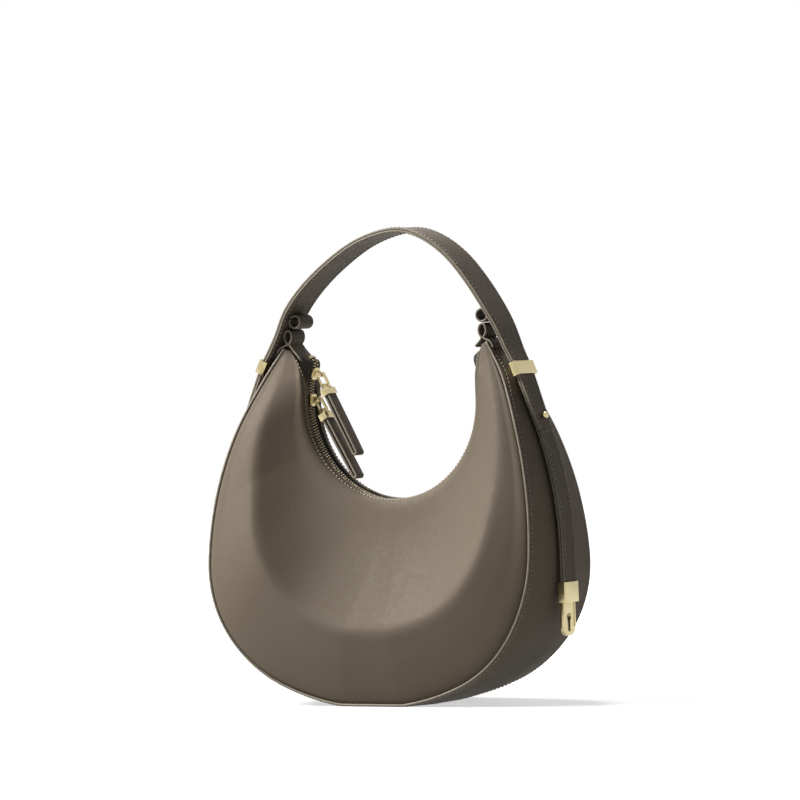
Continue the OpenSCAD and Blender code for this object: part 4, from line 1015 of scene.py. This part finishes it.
# Pulls: turn places each along the arc, hang is its angle below the level
pull = dict(upper=dict(turn=16.5, hang=62.5), lower=dict(turn=1.0, hang=60.5), pinRise=6.2, reach=64,
            link=14, linkHalf=3.7, eye=1.9, pin=0.7, fit=0.12, ferruleHalf=3.1, ferrule=9, inset=0.4, grip=3,
            thick=1.7, gap=0.9, width=10, sag=0.5)


def makePull(word):
    # a strip from the ferrule to the far end, round a half circle and back; each leg bows by a sine
    a = -90 - pull[word]["turn"]
    r = chainR - pull["pinRise"]
    pin = np.array([mouth["shift"] + r * sind(a), mouth["z"] - r * cosd(a)])
    h = math.radians(pull[word]["hang"])
    x, z = np.array([math.cos(h), -math.sin(h)]), np.array([math.sin(h), math.cos(h)])
    linkEnd = pull["eye"] - pull["pin"] - pull["fit"] + pull["link"] - 2 * pull["linkHalf"]
    bar = pull["ferruleHalf"] / 3
    end = linkEnd + pull["eye"] - pull["fit"] - 2 * bar - pull["inset"] + pull["ferrule"]
    start, stop = end - pull["grip"], pull["reach"] - pull["thick"] - pull["gap"] / 2
    mid = (pull["thick"] + pull["gap"]) / 2
    straight = np.linspace(start, stop, 60)
    sag = pull["sag"] * np.sin(np.linspace(0, math.pi, 60))
    turn = np.radians(np.linspace(-90, 90, 22))[1:-1]
    local = np.concatenate([np.stack([straight, -mid - sag / 2], 1),
                            np.stack([stop + mid * np.cos(turn), mid * np.sin(turn)], 1),
                            np.stack([straight[::-1], mid + sag / 4], 1)])
    line = pin + local[:, :1] * x + local[:, 1:] * z
    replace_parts(bandPiece(word + "PullLeather", line, pull["width"] / 2, pull["thick"], trimParts,
                          body=word + "_pull", slotName="trim_leather"), "pull_leather_" + word)


makePull("upper")
makePull("lower")
print("pulls ready")

# Metal fittings: the solid's node, the piece's name, its body, the width of its rounding, and the words that
# stand in for the braces
sides, ends = ("left", "right"), ("upper", "lower")
metal = [("{}_keeper", "{}KeeperRing", "bag", 0.35, sides), ("{}_stud", "{}BallStud", "bag", 0.25, sides),
         ("{}_tip_clamp", "{}TipClamp", "{}_strap_tail", 0.5, sides),
         ("{}_keyhole_plate", "{}KeyholePlate", "{}_strap_tail", 0.35, sides),
         ("slider_{}", "{}Slider", "{}_slider", 0.25, ends),
         ("pull_link_{}", "{}PullLink", "{}_pull", 0.45, ends),
         ("pull_ferrule_{}", "{}PullFerrule", "{}_pull", 0.4, ends),
         ("zip_stops", "zipEndStops", "bag", 0.3, [""]), ("keeper_rivets", "keeperRivetHeads", "bag", 0.2, [""]),
         ("stud_screws", "studScrewHeads", "bag", 0.2, [""])]


def bevelledCopy(node, name, body, width):
    # the solid's own mesh, merged, its flat faces joined again, and given rounded edges
    obj = newObject(name, bpy.data.objects[node].data.copy())
    obj.data.materials.clear()
    obj.data.materials.append(zipGold if node == "zip_stops" else gold)
    b = bmesh.new()
    b.from_mesh(obj.data)
    bmesh.ops.remove_doubles(b, verts=b.verts, dist=2e-6)
    bmesh.ops.dissolve_limit(b, angle_limit=math.radians(1.0), verts=b.verts, edges=b.edges)
    b.to_mesh(obj.data)
    b.free()
    obj.data.polygons.foreach_set("use_smooth", np.ones(len(obj.data.polygons), bool))
    m = obj.modifiers.new("round", "BEVEL")
    m.width, m.segments, m.limit_method, m.angle_limit = width * mm, 3, "ANGLE", math.radians(28)
    m.harden_normals = True
    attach(obj, body)
    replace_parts(obj, node)


for node, name, body, width, words in metal:
    for word in words:
        bevelledCopy(node.format(word), name.format(word), body.format(word), width)
print("metal fittings ready")
